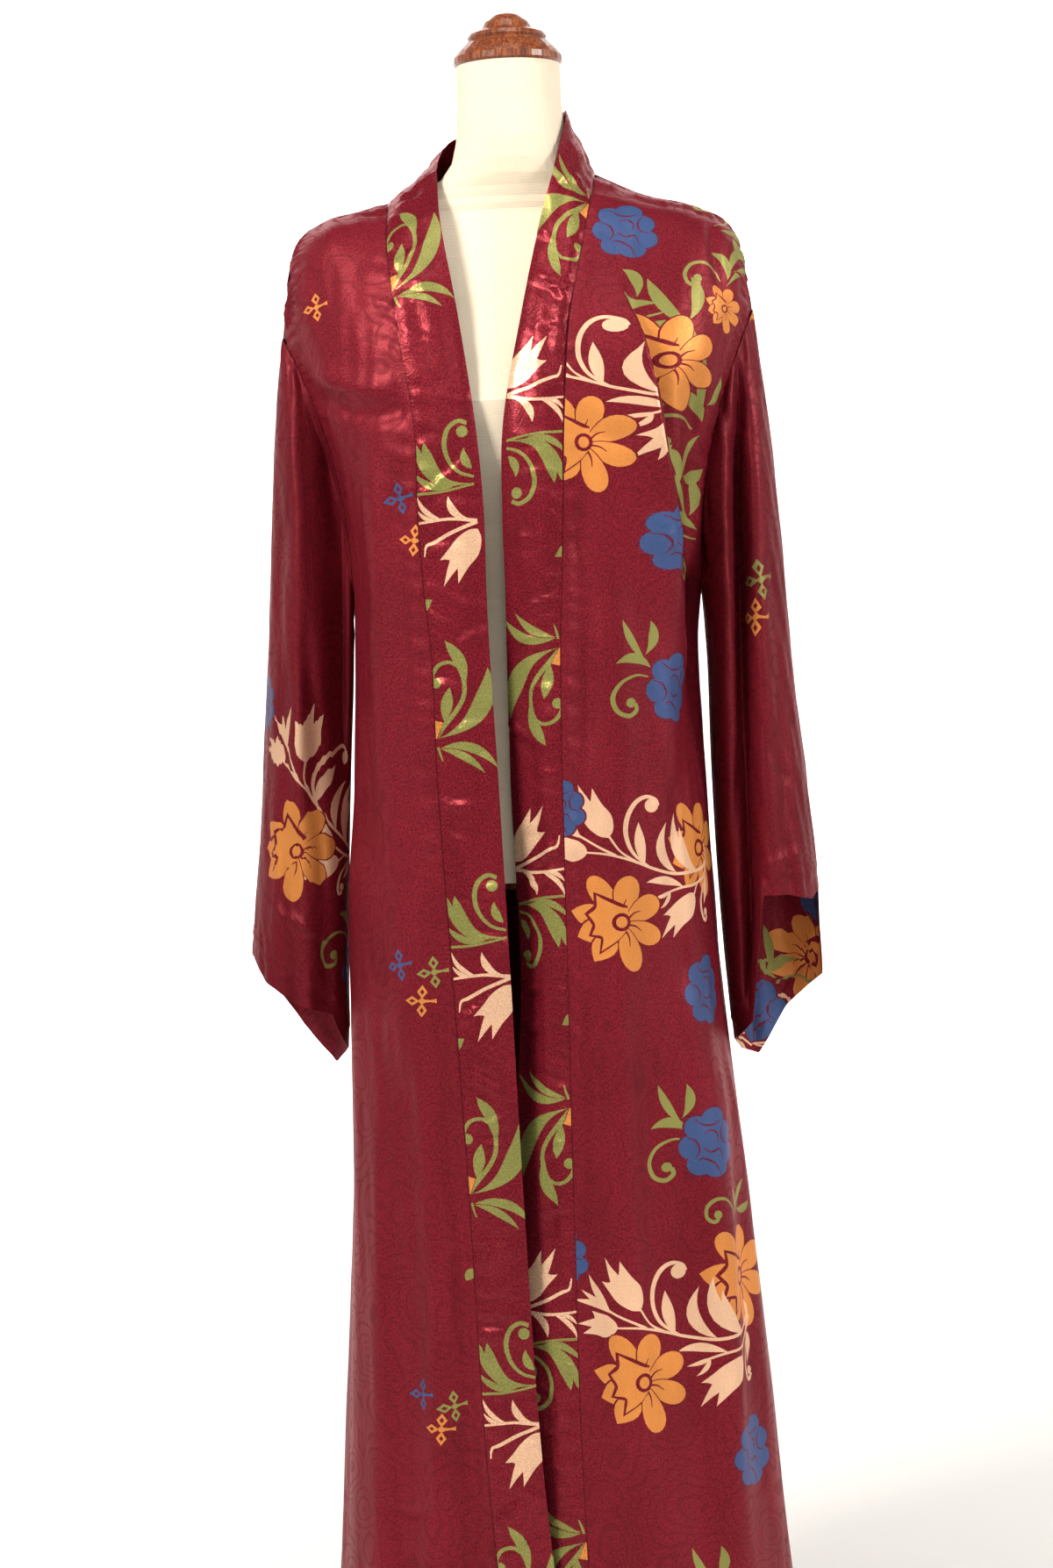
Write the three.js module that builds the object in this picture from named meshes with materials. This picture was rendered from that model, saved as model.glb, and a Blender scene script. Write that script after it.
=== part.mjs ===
// Kimono robe worn open on a limbless dress form with a turned wooden stand.
// Millimetres, +Z up, the robe faces -Y, the foot of the stand is on Z = 0.
// "left" and "right" are the sides as seen from the front, so left is -X.
import * as THREE from 'three';

// ---- driving sizes -------------------------------------------------------
const CLOTH = 1.6; // thickness of the cloth wall
const SEAM_GAP = 0.3; // clearance between two sewn pieces
const SEAT_GAP = 0.3; // clearance between two seated solids
const FORM_BOTTOM = 811;
const NECK_TOP = 1592;
const NECK_RADIUS = 50;
const BASE_RADIUS = 190;
const BASE_HEIGHT = 30;
const POLE_RADIUS = 12;
const SOCKET_RADIUS = 62;
const SOCKET_HEIGHT = 22;
const SHARP = 0.72; // cosine below which a sewn fold counts as a closed crease
const REST = 1.5; // clearance of the cloth where it lies on the form's shoulders
const UNDERARM_SECTION = 6; // index of the section at the underarm
const SHOULDER_SECTION = 12; // index of the section on the shoulder seam
const SLEEVE_STEPS = 3; // mesh rings per sleeve section

// ---- curves --------------------------------------------------------------
// Catmull-Rom value of evenly spaced points at the position t (0 = first point).
function curve(points, t) {
  const last = points.length - 1;
  const i = Math.min(Math.max(Math.floor(t), 0), last - 1);
  const f = t - i;
  const value = (axis) => {
    const b = points[i][axis];
    const c = points[i + 1][axis];
    const a = i > 0 ? points[i - 1][axis] : 2 * b - c;
    const d = i + 2 <= last ? points[i + 2][axis] : 2 * c - b;
    const square = f * f;
    return b + 0.5 * f * (c - a)
      + square * (a - 2.5 * b + 2 * c - 0.5 * d)
      + square * f * (1.5 * (b - c) + 0.5 * (d - a));
  };
  return points[i].map((_, axis) => value(axis));
}

// Straight-line value of a table of [position, value, ...] rows.
function between(rows, at, column = 1) {
  const last = rows.length - 1;
  if (at <= rows[0][0]) return rows[0][column];
  if (at >= rows[last][0]) return rows[last][column];
  let i = 0;
  while (rows[i + 1][0] < at) i += 1;
  const f = (at - rows[i][0]) / (rows[i + 1][0] - rows[i][0]);
  return rows[i][column] + f * (rows[i + 1][column] - rows[i][column]);
}

function smooth(from, to, at) {
  const f = Math.min(Math.max((at - from) / (to - from), 0), 1);
  return f * f * (3 - 2 * f);
}

// Positions from 0 to the last section with the given steps per section.
function stations(first, last, steps) {
  const list = [];
  for (let i = first * steps; i <= last * steps; i += 1) list.push(i / steps);
  return list;
}

// ---- sleeves -------------------------------------------------------------
// A ring of a sleeve runs from its outer fold (share 0) to its inner seam (share 1),
// once on the front and once on the back. Columns: outer fold x, z; inner seam x, z;
// depth of the front and of the back; how far the ring bows in toward the body.
const SLEEVE = {
  left: [
    [227, 1340, 169, 1090, 40, 40, 17],
    [239, 1240, 173, 1010, 50, 46, 10],
    [247, 1120, 179, 925, 54, 48, 4],
    [256, 1000, 184, 840, 56, 50, 0],
    [267, 872, 188, 755, 58, 52, 0],
    [281, 748, 192, 652, 58, 54, 0],
  ],
  right: [
    [226, 1350, 168, 1090, 40, 40, 17],
    [237, 1250, 171, 1010, 52, 46, 10],
    [246, 1120, 171, 920, 56, 48, 4],
    [252, 1000, 173, 820, 58, 50, 0],
    [262, 890, 177, 730, 60, 52, 0],
    [270, 792, 183, 646, 60, 56, 0],
  ],
};

// Where the cuff edge leaves the straight ring. Columns: share, rise, outward shift.
const CUFF = {
  left: {
    front: [[0, 0, 0], [0.15, -10, 0], [0.5, 0, 0], [0.85, 22, 0], [1, 0, 0]],
    back: [[0, 0, 0], [0.15, -14, 2], [0.5, -30, 0], [0.85, -32, 0], [1, 0, 0]],
  },
  right: {
    front: [[0, 0, 0], [0.1, 4, 0], [0.4, 54, 0], [0.66, 92, 0], [0.82, -6, 0], [1, 0, 0]],
    back: [[0, 0, 0], [0.1, -74, 12], [0.4, -62, 4], [0.7, -64, 0], [0.9, -28, 0], [1, 0, 0]],
  },
};

// Upright folds of the sleeves. Columns: x, first and last ring section,
// depth (positive sinks in), width in mm, 1 on the front or -1 on the back.
const SLEEVE_FOLDS = {
  left: [
    [236, 0.6, 5, 7, 10, 1],
    [212, 1.5, 5, 8, 11, 1],
    [222, 0.8, 5, 8, 13, -1],
  ],
  right: [
    [203, 0.15, 4.6, 30, 8.5, 1],
    [236, 1.5, 5, 5, 9, 1],
    [216, 0.8, 5, 9, 13, -1],
  ],
};

// Shares of the rows between the underarm and the drop end of the shoulder.
const ARMHOLE_SHARES = [1, 0.72, 0.45, 0.2, 0.08, 0.03, 0];

function ringPoint(side, section, share, face) {
  const [outX, outZ, inX, inZ, front, back, bow] = curve(SLEEVE[side], section);
  const round = Math.sin(Math.PI * share);
  const depth = (face > 0 ? front : back) * Math.max(round, 0) ** 0.55;
  const edge = smooth(2.6, 5, section);
  const cuff = CUFF[side][face > 0 ? 'front' : 'back'];
  const x = outX + (inX - outX) * share - bow * round + edge * between(cuff, share, 2);
  const z = outZ + (inZ - outZ) * share + edge * between(cuff, share, 1);
  let y = -face * depth;
  for (const [at, first, last, sink, width, side_] of SLEEVE_FOLDS[side]) {
    if (side_ !== face) continue;
    const away = (x - at) / width;
    const along = smooth(first, first + 0.8, section) * (1 - smooth(last, last + 0.4, section));
    y += face * sink * along * Math.exp(-away * away) * Math.min(1, 2 * round);
  }
  return [side === 'left' ? -x : x, y, z];
}

// ---- fronts and back -----------------------------------------------------
// Sections from the hem up. Front columns: side seam, turn of the side, outer
// front, middle front, band seam, each x, y, z.
const FRONT = {
  left: [
    [[222, 18, 90], [214, -68, 90], [178, -122, 90], [120, -146, 90], [59, -153, 90]],
    [[208, 15, 290], [200, -62, 290], [162, -118, 290], [118, -140, 290], [72, -148, 290]],
    [[191, 15, 520], [184, -58, 520], [152, -112, 520], [116, -134, 520], [78, -142, 520]],
    [[184, 12, 720], [177, -54, 720], [147, -108, 720], [116, -130, 720], [85, -138, 720]],
    [[176, 8, 900], [170, -51, 900], [145, -104, 900], [118, -126, 900], [92, -134, 900]],
    [[170, 4, 1020], [165, -50, 1020], [144, -102, 1020], [119, -124, 1020], [93, -132, 1020]],
    [[169, 0, 1090], [163, -50, 1090], [143, -101, 1090], [120, -123, 1090], [98, -131, 1090]],
    [[174, -34, 1160], [164, -64, 1153], [145, -103, 1156], [122, -122, 1160], [101, -130, 1165]],
    [[187, -40, 1227], [170, -74, 1218], [150, -103, 1228], [126, -120, 1238], [101, -128, 1243]],
    [[207, -30, 1290], [187, -68, 1300], [161, -93, 1318], [136, -106, 1325], [113, -113, 1330]],
    [[220, -17, 1322], [205, -42, 1368], [174, -63, 1390], [148, -73, 1398], [121, -79, 1405]],
    [[224, -8, 1332], [211, -20, 1405], [182, -38, 1431], [151, -39, 1441], [121, -42, 1446]],
    [[227, 0, 1340], [213, 3, 1424], [184, 9, 1451], [152, 10, 1459.5], [121, 10, 1466.5]],
  ],
  right: [
    [[220, -16, 90], [208, -76, 90], [156, -128, 90], [86, -150, 90], [22, -155, 90]],
    [[207, -22, 290], [194, -76, 290], [144, -125, 290], [80, -145, 290], [18, -150, 290]],
    [[186, -32, 520], [173, -78, 520], [131, -121, 520], [76, -139, 520], [19.5, -144, 520]],
    [[169, -36, 720], [150, -84, 720], [112, -119, 720], [69, -134, 720], [22, -139, 720]],
    [[164, -26, 900], [150, -71, 900], [118, -111, 900], [72, -130, 900], [24, -135, 900]],
    [[161, -14, 1020], [155, -59, 1020], [124, -106, 1020], [78, -127, 1020], [27, -133, 1020]],
    [[168, 0, 1090], [161, -52, 1090], [132, -103, 1090], [84, -125, 1090], [31, -132, 1090]],
    [[173, -34, 1163], [163, -64, 1153], [137, -103, 1156], [89, -124, 1160], [35, -131, 1165]],
    [[186, -40, 1233], [170, -74, 1218], [143, -104, 1228], [95, -122, 1238], [38.5, -129, 1243]],
    [[206, -30, 1298], [187, -66, 1304], [156, -92, 1320], [108, -108, 1328], [47, -115, 1335]],
    [[219, -17, 1332], [204, -42, 1372], [171, -62, 1392], [122, -73, 1402], [63, -80, 1410]],
    [[223, -9, 1342], [210, -23, 1408], [173, -37, 1433], [125, -40, 1446], [74, -48, 1458]],
    [[226, 0, 1350], [212, 3, 1426], [172, 9, 1453.5], [127, 10, 1465.5], [81, 10, 1486.5]],
  ],
};

// Back columns after the side seam: turn of the side, outer back, middle back,
// neck column, and the centre back, which both halves share.
const BACK = {
  left: [
    [[212, 78, 90], [175, 118, 90], [132, 136, 90], [84, 144, 90]],
    [[197, 72, 290], [164, 110, 290], [125, 128, 290], [80, 136, 290]],
    [[181, 66, 520], [153, 103, 520], [118, 120, 520], [76, 127, 520]],
    [[174, 60, 720], [147, 97, 720], [114, 114, 720], [74, 121, 720]],
    [[167, 56, 900], [142, 93, 900], [111, 110, 900], [74, 117, 900]],
    [[161, 52, 1020], [138, 90, 1020], [110, 106, 1020], [74, 112, 1020]],
    [[159, 52, 1090], [138, 89, 1090], [112, 104, 1090], [78, 110, 1090]],
    [[163, 64, 1153], [141, 92, 1156], [116, 103, 1160], [84, 108, 1165]],
    [[170, 74, 1218], [148, 95, 1228], [124, 103, 1238], [92, 107, 1243]],
    [[187, 68, 1302], [163, 88, 1318], [137, 99, 1328], [104, 104, 1336]],
    [[205, 42, 1368], [177, 62, 1390], [150, 73, 1401], [116, 82, 1411]],
    [[211, 24, 1405], [182, 42, 1430], [151, 48, 1440], [119, 54, 1447]],
    [[213, 3, 1424], [184, 9, 1451], [152, 10, 1459.5], [121, 10, 1466.5]],
  ],
  right: [
    [[217, 62, 90], [178, 112, 90], [132, 134, 90], [84, 143, 90]],
    [[205, 54, 290], [169, 104, 290], [125, 126, 290], [80, 135, 290]],
    [[187, 46, 520], [157, 96, 520], [118, 118, 520], [76, 126, 520]],
    [[170, 36, 720], [146, 86, 720], [112, 110, 720], [74, 119, 720]],
    [[163, 40, 900], [141, 85, 900], [110, 107, 900], [74, 116, 900]],
    [[160, 46, 1020], [138, 88, 1020], [108, 105, 1020], [72, 111, 1020]],
    [[159, 52, 1090], [138, 89, 1090], [108, 104, 1090], [70, 110, 1090]],
    [[163, 64, 1153], [141, 92, 1156], [110, 103, 1160], [70, 108, 1165]],
    [[170, 74, 1218], [147, 95, 1228], [113, 103, 1238], [72, 107, 1243]],
    [[187, 68, 1304], [160, 88, 1320], [121, 99, 1330], [76, 105, 1340]],
    [[204, 42, 1372], [173, 62, 1392], [127, 75, 1404], [80, 84, 1416]],
    [[210, 24, 1408], [173, 42, 1433], [127, 50, 1447], [81, 54, 1458]],
    [[212, 3, 1426], [172, 9, 1453.5], [127, 10, 1465.5], [81, 10, 1486.5]],
  ],
};
// Centre back x, y, z for the same sections; the last one is on the neck seam.
const CENTRE_BACK = [
  [-2, 148, 90], [-2, 139, 290], [-3, 130, 520], [-3, 124, 720], [-4, 120, 900], [-5, 115, 1020],
  [-6, 112, 1090], [-7, 110, 1165], [-9, 109, 1245], [-12, 107, 1345], [-15, 94, 1420],
  [-17, 82, 1455], [-18, 73, 1480],
];
// The back neck seam between the shoulder seams and the centre back.
const NECK_SEAM = { left: [-78, 54, 1476], right: [43, 54, 1484] };

// Folds of the fronts and the back. Columns: x and z at the lower end, x and z
// at the upper end, rise out of the cloth, width in mm.
const FOLDS = {
  front_left: [
    [-186, 90, -172, 1000, 7, 16],
    [-150, 90, -150, 1060, -6, 13],
    [-118, 90, -126, 900, 6, 18],
    [-84, 90, -100, 700, -5, 14],
    [-150, 700, -178, 1190, 4, 11],
  ],
  front_right: [
    [163, 1010, 93, 1390, 9, 12],
    [174, 1030, 112, 1390, -9, 10],
    [168, 90, 140, 960, 7, 18],
    [128, 90, 112, 900, -6, 16],
    [78, 90, 66, 900, 6, 20],
    [44, 90, 42, 1120, -4, 12],
  ],
  back: [
    [-150, 90, -120, 1180, 7, 20],
    [-104, 90, -84, 1100, -7, 18],
    [-46, 90, -34, 1250, 6, 20],
    [12, 90, 8, 1200, -6, 18],
    [60, 90, 44, 1250, 7, 20],
    [112, 90, 88, 1120, -7, 18],
    [160, 90, 128, 1150, 6, 18],
  ],
};

function foldRise(name, x, z) {
  let rise = 0;
  for (const [lowX, lowZ, highX, highZ, height, width] of FOLDS[name]) {
    const f = (z - lowZ) / (highZ - lowZ);
    const away = (x - lowX - f * (highX - lowX)) / width;
    const fade = lowZ > 90 ? smooth(lowZ, lowZ + 90, z) : 1;
    rise += height * Math.exp(-away * away) * fade * (1 - smooth(highZ - 220, highZ, z));
  }
  return rise;
}

const ROWS = [
  0, 0.35, 0.7, 1, 1.35, 1.7, 2, 2.5, 3, 3.5, 4, 4.5, 5, 5.5, 6,
  6.5, 7, 7.5, 8, 8.5, 9, 9.5, 10, 10.5, 11, 11.33, 11.67, 12,
];
const FRONT_COLUMNS = [0, 0.3, 0.6, 0.9, 1.2, 1.5, 1.85, 2.2, 2.6, 3, 3.33, 3.67, 4];
const NECK_COLUMNS = [0.25, 0.5, 0.75, 1];

// Left pieces mirror their x; the columns of every table hold it as a distance.
function sided(side, point) {
  return [side === 'left' ? -point[0] : point[0], point[1], point[2]];
}

function outerEdge(side, row, face) {
  if (row <= UNDERARM_SECTION) {
    const seam = FRONT[side].slice(0, UNDERARM_SECTION + 1).map((section) => section[0]);
    return sided(side, curve(seam, row));
  }
  const shares = ARMHOLE_SHARES.map((share) => [share]);
  const at = row - UNDERARM_SECTION;
  const i = Math.min(Math.floor(at), shares.length - 2);
  const share = shares[i][0] + (at - i) * (shares[i + 1][0] - shares[i][0]);
  return ringPoint(side, 0, share, face);
}

function shoulderPoint(side, column) {
  const seam = FRONT[side][SHOULDER_SECTION];
  return laid(sided(side, curve(seam, column)));
}

// Height over the point x, y of the form grown by the given amount, 0 beside it.
function formTop(x, y, grown) {
  for (let z = 1520; z > 1380; z -= 0.5) {
    const depth = between(FORM, z, y < 0 ? 2 : 3) + grown;
    const power = between(FORM, z, 4);
    const half = between(FORM, z) + grown;
    if ((Math.abs(x) / half) ** power + (Math.abs(y) / depth) ** power < 1) return z + grown;
  }
  return 0;
}

// Lifts a point of the cloth's outer face clear of the form's shoulders.
function laid(point) {
  if (point[2] < 1390) return point;
  const lowest = formTop(point[0], point[1], CLOTH + REST);
  return [point[0], point[1], Math.max(point[2], lowest)];
}

function raised(name, point, face, fade) {
  const rise = foldRise(name, point[0], point[2]) * fade;
  return laid([point[0], point[1] - face * rise, point[2]]);
}

function frontGrid(side) {
  return ROWS.map((row) => FRONT_COLUMNS.map((column) => {
    if (column === 0) return outerEdge(side, row, 1);
    if (row === SHOULDER_SECTION) return shoulderPoint(side, column);
    const line = FRONT[side].map((section) => curve(section, column));
    const fade = smooth(0, 0.9, column) * smooth(0, 0.5, 4 - column + 0.2);
    return raised(`front_${side}`, sided(side, curve(line, row)), 1, fade);
  }));
}

// One half of the back, from its outer edge to the centre back.
function backHalf(side) {
  const net = BACK[side].map((section, i) => {
    const centre = CENTRE_BACK[i];
    const inner = side === 'left' ? [-centre[0], centre[1], centre[2]] : centre;
    const half = NECK_SEAM[side];
    const top = i === SHOULDER_SECTION;
    const neck = top ? [Math.abs(half[0]), half[1], half[2]] : section[3].map(
      (value, axis) => 0.5 * (value + inner[axis]) + (axis === 1 ? 1.5 : 0),
    );
    const beyond = [2 * inner[0] - neck[0], neck[1], neck[2]];
    const [edgeX, edgeY, edgeZ] = FRONT[side][i][0];
    const edge = [edgeX, i > UNDERARM_SECTION ? -edgeY : edgeY, edgeZ];
    return [edge, ...section, neck, inner, beyond];
  });
  return ROWS.map((row) => {
    const columns = [...FRONT_COLUMNS, ...NECK_COLUMNS.map((share) => 4 + 2 * share)];
    return columns.map((column) => {
      if (column === 0) return outerEdge(side, row, -1);
      if (row === SHOULDER_SECTION && column <= 4) return shoulderPoint(side, column);
      const line = net.map((section) => curve(section, column));
      if (row === SHOULDER_SECTION) return laid(sided(side, line[SHOULDER_SECTION]));
      const fade = smooth(0, 0.9, column);
      return raised('back', sided(side, curve(line, row)), -1, fade);
    });
  });
}

function backGrid() {
  const left = backHalf('left');
  const right = backHalf('right');
  return left.map((line, i) => [...line, ...right[i].slice(0, -1).reverse()]);
}

function sleeveGrid(side) {
  const armholeRows = ROWS.filter((row) => row >= UNDERARM_SECTION);
  const shareOf = (row) => {
    const at = row - UNDERARM_SECTION;
    const i = Math.min(Math.floor(at), ARMHOLE_SHARES.length - 2);
    return ARMHOLE_SHARES[i] + (at - i) * (ARMHOLE_SHARES[i + 1] - ARMHOLE_SHARES[i]);
  };
  const shares = armholeRows.map(shareOf);
  const around = [
    ...shares.map((share) => [share, 1]),
    ...shares.slice(1, -1).reverse().map((share) => [share, -1]),
  ];
  return stations(0, SLEEVE[side].length - 1, SLEEVE_STEPS).map(
    (section) => around.map(([share, face]) => ringPoint(side, section, share, face)),
  );
}

// ---- neck band -----------------------------------------------------------
// Free edge of the band for each body section, then on round the neck.
const BAND_EDGE = {
  left: [
    [-5, -160, 90], [-20, -155, 290], [-27, -149, 520], [-31, -144, 720], [-35, -139, 900],
    [-38.5, -136, 1020], [-39.5, -134, 1090], [-39, -132, 1165], [-44, -128, 1245],
    [-56, -110, 1344], [-69, -74, 1430], [-72, -38, 1474], [-70, 2, 1506], [-54, 38, 1530],
  ],
  right: [
    [-38, -128, 90], [-41, -122, 290], [-36, -113, 520], [-22, -105, 720], [-24, -108, 900],
    [-23, -112, 1020], [-22, -117, 1090], [-22, -121, 1165], [-18, -122, 1245],
    [3, -98, 1346], [24, -68, 1435], [38, -54, 1482], [54, -8, 1543], [45, 37, 1548],
  ],
};
const BAND_CENTRE = [-5, 60, 1544]; // free edge at the centre back
const BAND_COLUMNS = [0, 0.25, 0.5, 0.75, 1];
const BAND_BULGE = { left: 3, right: 6 }; // rise of the middle of the band

function bandRows(side, front, back) {
  const half = back[back.length - 1];
  const mid = Math.floor(half.length / 2);
  const seam = front.map((line) => line[line.length - 1]);
  const neck = NECK_COLUMNS.map((_, i) => {
    const step = FRONT_COLUMNS.length + i;
    return half[side === 'left' ? step : half.length - 1 - step];
  });
  neck[neck.length - 1] = half[mid];
  const positions = [...ROWS, ...NECK_COLUMNS.map((share) => SHOULDER_SECTION + 2 * share)];
  const free = [...BAND_EDGE[side], BAND_CENTRE];
  return [...seam, ...neck].map((point, i) => {
    const edge = curve(free, positions[i]);
    return BAND_COLUMNS.map((share) => {
      const bulge = BAND_BULGE[side] * 4 * share * (1 - share)
        * (1 - smooth(1380, 1480, point[2]));
      const spot = point.map((value, axis) => (
        value + share * (edge[axis] - value) - (axis === 1 ? bulge : 0)
      ));
      return share > 0 ? laid(spot) : spot;
    });
  });
}

function bandGrid(left, right, back) {
  const up = bandRows('left', left, back);
  const down = bandRows('right', right, back);
  return [...up, ...down.slice(0, -1).reverse()];
}

// ---- cloth walls ---------------------------------------------------------
const keyOf = (point) => point.map((value) => Math.round(value * 50)).join(',');

function cross(a, b) {
  return [a[1] * b[2] - a[2] * b[1], a[2] * b[0] - a[0] * b[2], a[0] * b[1] - a[1] * b[0]];
}
const minus = (a, b) => a.map((value, i) => value - b[i]);
const dot = (a, b) => a[0] * b[0] + a[1] * b[1] + a[2] * b[2];
function unit(a) {
  const size = Math.hypot(...a) || 1;
  return a.map((value) => value / size);
}

// Normals of a grid's own faces at each of its points.
function ownNormals(sheet) {
  const { grid, loop, turn } = sheet;
  const wide = grid[0].length;
  return grid.map((line, r) => line.map((_, c) => {
    const up = grid[Math.min(r + 1, grid.length - 1)][c];
    const down = grid[Math.max(r - 1, 0)][c];
    const next = grid[r][loop ? (c + 1) % wide : Math.min(c + 1, wide - 1)];
    const past = grid[r][loop ? (c + wide - 1) % wide : Math.max(c - 1, 0)];
    return unit(cross(minus(next, past), minus(up, down)).map((value) => value * turn));
  }));
}

// Points where sewn pieces meet share one normal, unless the fold there is sharp.
function shareNormals(sheets) {
  const sums = new Map();
  for (const sheet of sheets) {
    sheet.normals = ownNormals(sheet);
    sheet.grid.forEach((line, r) => line.forEach((point, c) => {
      const key = keyOf(point);
      const sum = sums.get(key) ?? [0, 0, 0];
      sums.set(key, sum.map((value, axis) => value + sheet.normals[r][c][axis]));
    }));
  }
  for (const sheet of sheets) {
    sheet.sharp = sheet.normals.map((line, r) => line.map((own, c) => (
      dot(unit(sums.get(keyOf(sheet.grid[r][c]))), own) < SHARP
    )));
    sheet.normals = sheet.normals.map((line, r) => line.map((own, c) => (
      sheet.sharp[r][c] ? own : unit(sums.get(keyOf(sheet.grid[r][c])))
    )));
  }
}

// Moves a sewn edge away from its seam along the cloth by half the seam gap.
function pulled(point, inside, normal) {
  const along = minus(inside, point);
  const flat = unit(minus(along, normal.map((value) => value * dot(along, normal))));
  return point.map((value, axis) => value + flat[axis] * SEAM_GAP * 0.5);
}

function wall(sheet) {
  const { grid, normals, loop, sewn } = sheet;
  const high = grid.length;
  const wide = grid[0].length;
  const outer = grid.map((line, r) => line.map((point, c) => {
    let moved = point;
    if (sewn.first && r === 0) moved = pulled(moved, grid[1][c], normals[r][c]);
    if (sewn.last && r >= high - 1) moved = pulled(moved, grid[high - 2][c], normals[r][c]);
    if (!loop && sewn.start(r) && c === 0) moved = pulled(moved, grid[r][1], normals[r][c]);
    if (!loop && sewn.end(r) && c === wide - 1) {
      moved = pulled(moved, grid[r][wide - 2], normals[r][c]);
    }
    if (!sheet.sharp[r][c]) return moved;
    return moved.map((value, axis) => value - normals[r][c][axis] * SEAM_GAP * 0.5);
  }));
  const inner = outer.map((line, r) => line.map(
    (point, c) => point.map((value, axis) => value - normals[r][c][axis] * CLOTH),
  ));
  const points = [...outer.flat(), ...inner.flat()];
  const back = high * wide;
  const faces = [];
  const quad = (a, b, c, d) => {
    faces.push([a, b, c], [a, c, d]);
  };
  const spans = loop ? wide : wide - 1;
  for (let r = 0; r < high - 1; r += 1) {
    for (let c = 0; c < spans; c += 1) {
      const a = r * wide + c;
      const b = r * wide + ((c + 1) % wide);
      const d = a + wide;
      const e = b + wide;
      quad(a, b, e, d);
      quad(back + a, back + d, back + e, back + b);
    }
  }
  for (let c = 0; c < spans; c += 1) {
    const a = c;
    const b = (c + 1) % wide;
    quad(a, back + a, back + b, b);
    const top = (high - 1) * wide;
    quad(top + a, top + b, back + top + b, back + top + a);
  }
  if (!loop) {
    for (let r = 0; r < high - 1; r += 1) {
      const a = r * wide;
      const d = a + wide;
      quad(a, d, back + d, back + a);
      const e = a + wide - 1;
      const f = e + wide;
      quad(e, back + e, back + f, f);
    }
  }
  const geometry = new THREE.BufferGeometry();
  geometry.setAttribute('position', new THREE.Float32BufferAttribute(points.flat(), 3));
  geometry.setIndex(faces.flatMap((face) => (sheet.turn > 0 ? face : [...face].reverse())));
  return geometry;
}

// ---- dress form and stand ------------------------------------------------
// Sections of the form: z, half width, front depth, back depth, roundness.
const FORM = [
  [811, 146, 90, 100, 2.2],
  [850, 149, 93, 107, 2.2],
  [900, 149, 94, 108, 2.2],
  [950, 144, 92, 102, 2.2],
  [1010, 130, 87, 90, 2.2],
  [1080, 118, 82, 80, 2.2],
  [1150, 124, 92, 84, 2.3],
  [1210, 134, 108, 88, 2.6],
  [1265, 143, 116, 92, 2.8],
  [1320, 152, 98, 95, 2.6],
  [1370, 172, 75, 94, 2.4],
  [1405, 192, 58, 84, 2.2],
  [1430, 197, 44, 70, 2.1],
  [1441, 188, 39, 62, 2],
  [1448, 172, 36, 58, 2],
  [1452, 157, 35, 56, 2],
  [1458, 132, 36, 54, 2],
  [1464, 110, 36, 52, 2],
  [1474, 86, 39, 51, 2],
  [1485, 69, 44, 50, 2],
  [1500, 58, 48, 50, 2],
  [1520, 53, 50, 50, 2],
  [1555, NECK_RADIUS, 49, 49, 2],
  [NECK_TOP, NECK_RADIUS, NECK_RADIUS, NECK_RADIUS, 2],
];
const FORM_SEGMENTS = 48;

function formTorso() {
  const points = [];
  for (const [z, half, front, back, power] of FORM) {
    for (let i = 0; i < FORM_SEGMENTS; i += 1) {
      const angle = (2 * Math.PI * i) / FORM_SEGMENTS;
      const c = Math.cos(angle);
      const s = Math.sin(angle);
      const depth = s < 0 ? front : back;
      points.push(
        half * Math.sign(c) * Math.abs(c) ** (2 / power),
        depth * Math.sign(s) * Math.abs(s) ** (2 / power),
        z,
      );
    }
  }
  const rings = FORM.length;
  points.push(0, 0, FORM[0][0], 0, 0, NECK_TOP);
  const bottom = rings * FORM_SEGMENTS;
  const index = [];
  for (let i = 0; i < FORM_SEGMENTS; i += 1) {
    const j = (i + 1) % FORM_SEGMENTS;
    for (let r = 0; r < rings - 1; r += 1) {
      const a = r * FORM_SEGMENTS;
      const b = a + FORM_SEGMENTS;
      index.push(a + i, a + j, b + j, a + i, b + j, b + i);
    }
    const top = (rings - 1) * FORM_SEGMENTS;
    index.push(bottom, j, i, bottom + 1, top + i, top + j);
  }
  const geometry = new THREE.BufferGeometry();
  geometry.setAttribute('position', new THREE.Float32BufferAttribute(points, 3));
  geometry.setIndex(index);
  return geometry;
}

// A solid turned about the Z axis from [radius, z] pairs, bottom to top.
function turned(profile, segments) {
  const closed = [[0, profile[0][1]], ...profile, [0, profile[profile.length - 1][1]]];
  const line = closed.map(([radius, z]) => new THREE.Vector2(radius, z));
  const geometry = new THREE.LatheGeometry(line, segments);
  geometry.rotateX(Math.PI / 2);
  return geometry;
}

const capFoot = NECK_TOP + SEAT_GAP;
const neckCap = turned([
  [50, capFoot], [52.5, capFoot + 2], [52.5, 1600], [50, 1603.5], [48, 1606], [43, 1611],
  [40, 1614], [37, 1616.5], [38.5, 1619], [36.5, 1622.5], [29, 1625], [25, 1627.5],
  [21, 1634], [13, 1640], [5, 1643],
], 28);

const socketTop = FORM_BOTTOM - SEAT_GAP;
const socketFoot = socketTop - SOCKET_HEIGHT;
const socket = turned([
  [20, socketFoot], [24, socketFoot + 4], [24, socketFoot + 11], [SOCKET_RADIUS - 3, socketFoot + 14],
  [SOCKET_RADIUS, socketFoot + 17], [SOCKET_RADIUS, socketTop],
], 28);

const pole = turned([
  [POLE_RADIUS, BASE_HEIGHT + SEAT_GAP],
  [POLE_RADIUS, socketFoot - SEAT_GAP],
], 24);

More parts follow.
